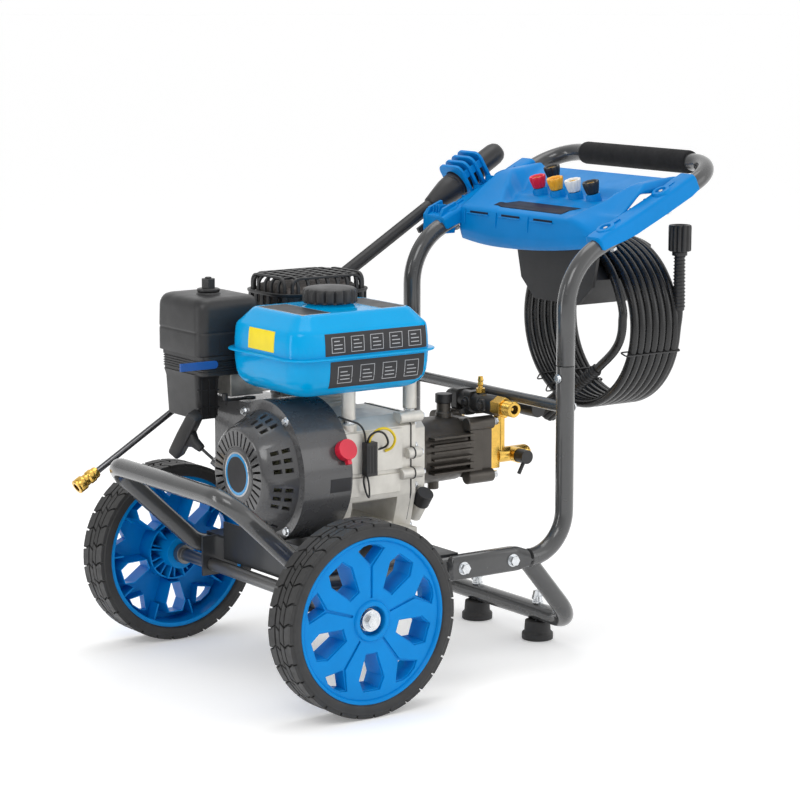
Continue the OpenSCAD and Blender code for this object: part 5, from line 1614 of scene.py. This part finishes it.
# ---------------------------------------------------------------- nodes in the CAD's own shape
def carry(node, slot):
    """Gives its finish to a CAD node that stays as it is."""
    finishes = frame["nodes"][node].data.materials
    finishes.clear()
    finishes.append(MATERIALS[slot])


SOFT_EDGES = {
    "engine_base": ("base_paint", 0.6), "axle": ("axle_steel", 0.8),
    "rubber_feet": ("foot_rubber", 1.2), "foot_studs": ("zinc", 0.5), "hex_bolts": ("zinc", 0.5),
    "side_cover": ("cast_alloy", 1.8), "cylinder": ("cast_alloy", 0.8),
    "rocker_cover": ("engine_black", 2.5), "fan_shroud": ("shroud_paint", 2.2),
    "recoil_cover": ("shroud_paint", 0.5), "carburettor": ("carb_alloy", 1.2),
    "choke_lever": ("choke_blue", 0.6), "throttle_lever": ("black_plastic", 0.6),
    "engine_switch": ("switch_red", 1.0), "brass_manifold": ("brass", 0.8),
    "oil_dipstick": ("black_plastic", 0.8), "unloader_knob": ("black_plastic", 0.8),
    "inlet_tap": ("black_plastic", 0.8), "pump_oil_cap": ("black_plastic", 0.8),
    "hose_hanger": ("black_plastic", 1.0), "gun_trigger": ("black_plastic", 0.8),
    "cross_bar": ("frame_paint", 0.3),
}
INSIDE = {"crankshaft": "steel", "flywheel": "fan_casting", "piston": "cast_alloy",
          "recoil_reel": "black_plastic", "swash_plate": "steel"}
for node, slot in INSIDE.items():
    carry(node, slot)
for node, (slot, bevel) in SOFT_EDGES.items():
    softened(node, slot, bevel)

# ---------------------------------------------------------------- stage and light
def make_stage():
    bpy.context.scene.view_settings.view_transform = "Standard"
    data = bpy.data.meshes.new("floor")
    reach, below = 80, -0.0005
    data.from_pydata([(x * reach, y * reach, below) for x, y in ((-1, -1), (1, -1), (1, 1), (-1, 1))],
                     [], [(0, 1, 2, 3)])
    floor = new_object("floor", data)
    pale = bpy.data.materials.new("floor")
    pale.use_nodes = True
    shader = pale.node_tree.nodes["Principled BSDF"]
    shader.inputs["Base Color"].default_value = (0.95, 0.95, 0.95, 1)
    shader.inputs["Emission Color"].default_value = (1, 1, 1, 1)
    shader.inputs["Emission Strength"].default_value = 0.2
    shader.inputs["Roughness"].default_value = 0.75
    data.materials.append(pale)
    world = bpy.data.worlds.new("world")
    bpy.context.scene.world = world
    world.use_nodes = True
    tree = world.node_tree
    split = tree.nodes.new("ShaderNodeSeparateXYZ")
    tree.links.new(tree.nodes.new("ShaderNodeTexCoord").outputs["Generated"],
                   split.inputs["Vector"])
    side = map_range(tree, split.outputs["X"], -0.95, 0.1, 0.3, 1.0)
    backdrop = tree.nodes["Background"]
    backdrop.inputs["Color"].default_value = (1, 1, 1, 1)
    tree.links.new(side, backdrop.inputs["Strength"])


def area_light(name, where, size, power, aim, tall=None):
    data = bpy.data.lights.new(name, "AREA")
    data.shape = "RECTANGLE"
    data.size = size
    data.size_y = tall or size
    data.energy = power
    light = new_object(name, data)
    light.location = where
    light.rotation_euler = (Vector(aim) - Vector(where)).to_track_quat("-Z", "Y").to_euler()


make_stage()
area_light("key", (-1.9, -1.4, 2.3), 1.2, 18, (0, 0, 0.3))
area_light("fill", (1.8, -2.2, 1.2), 1.6, 8, (0, 0, 0.3))
area_light("top", (0.2, 0.3, 2.6), 1.4, 12, (0, 0, 0.3))
area_light("strip", (-2.4, 0.4, 0.9), 0.35, 9, (0, 0, 0.35), tall=1.6)
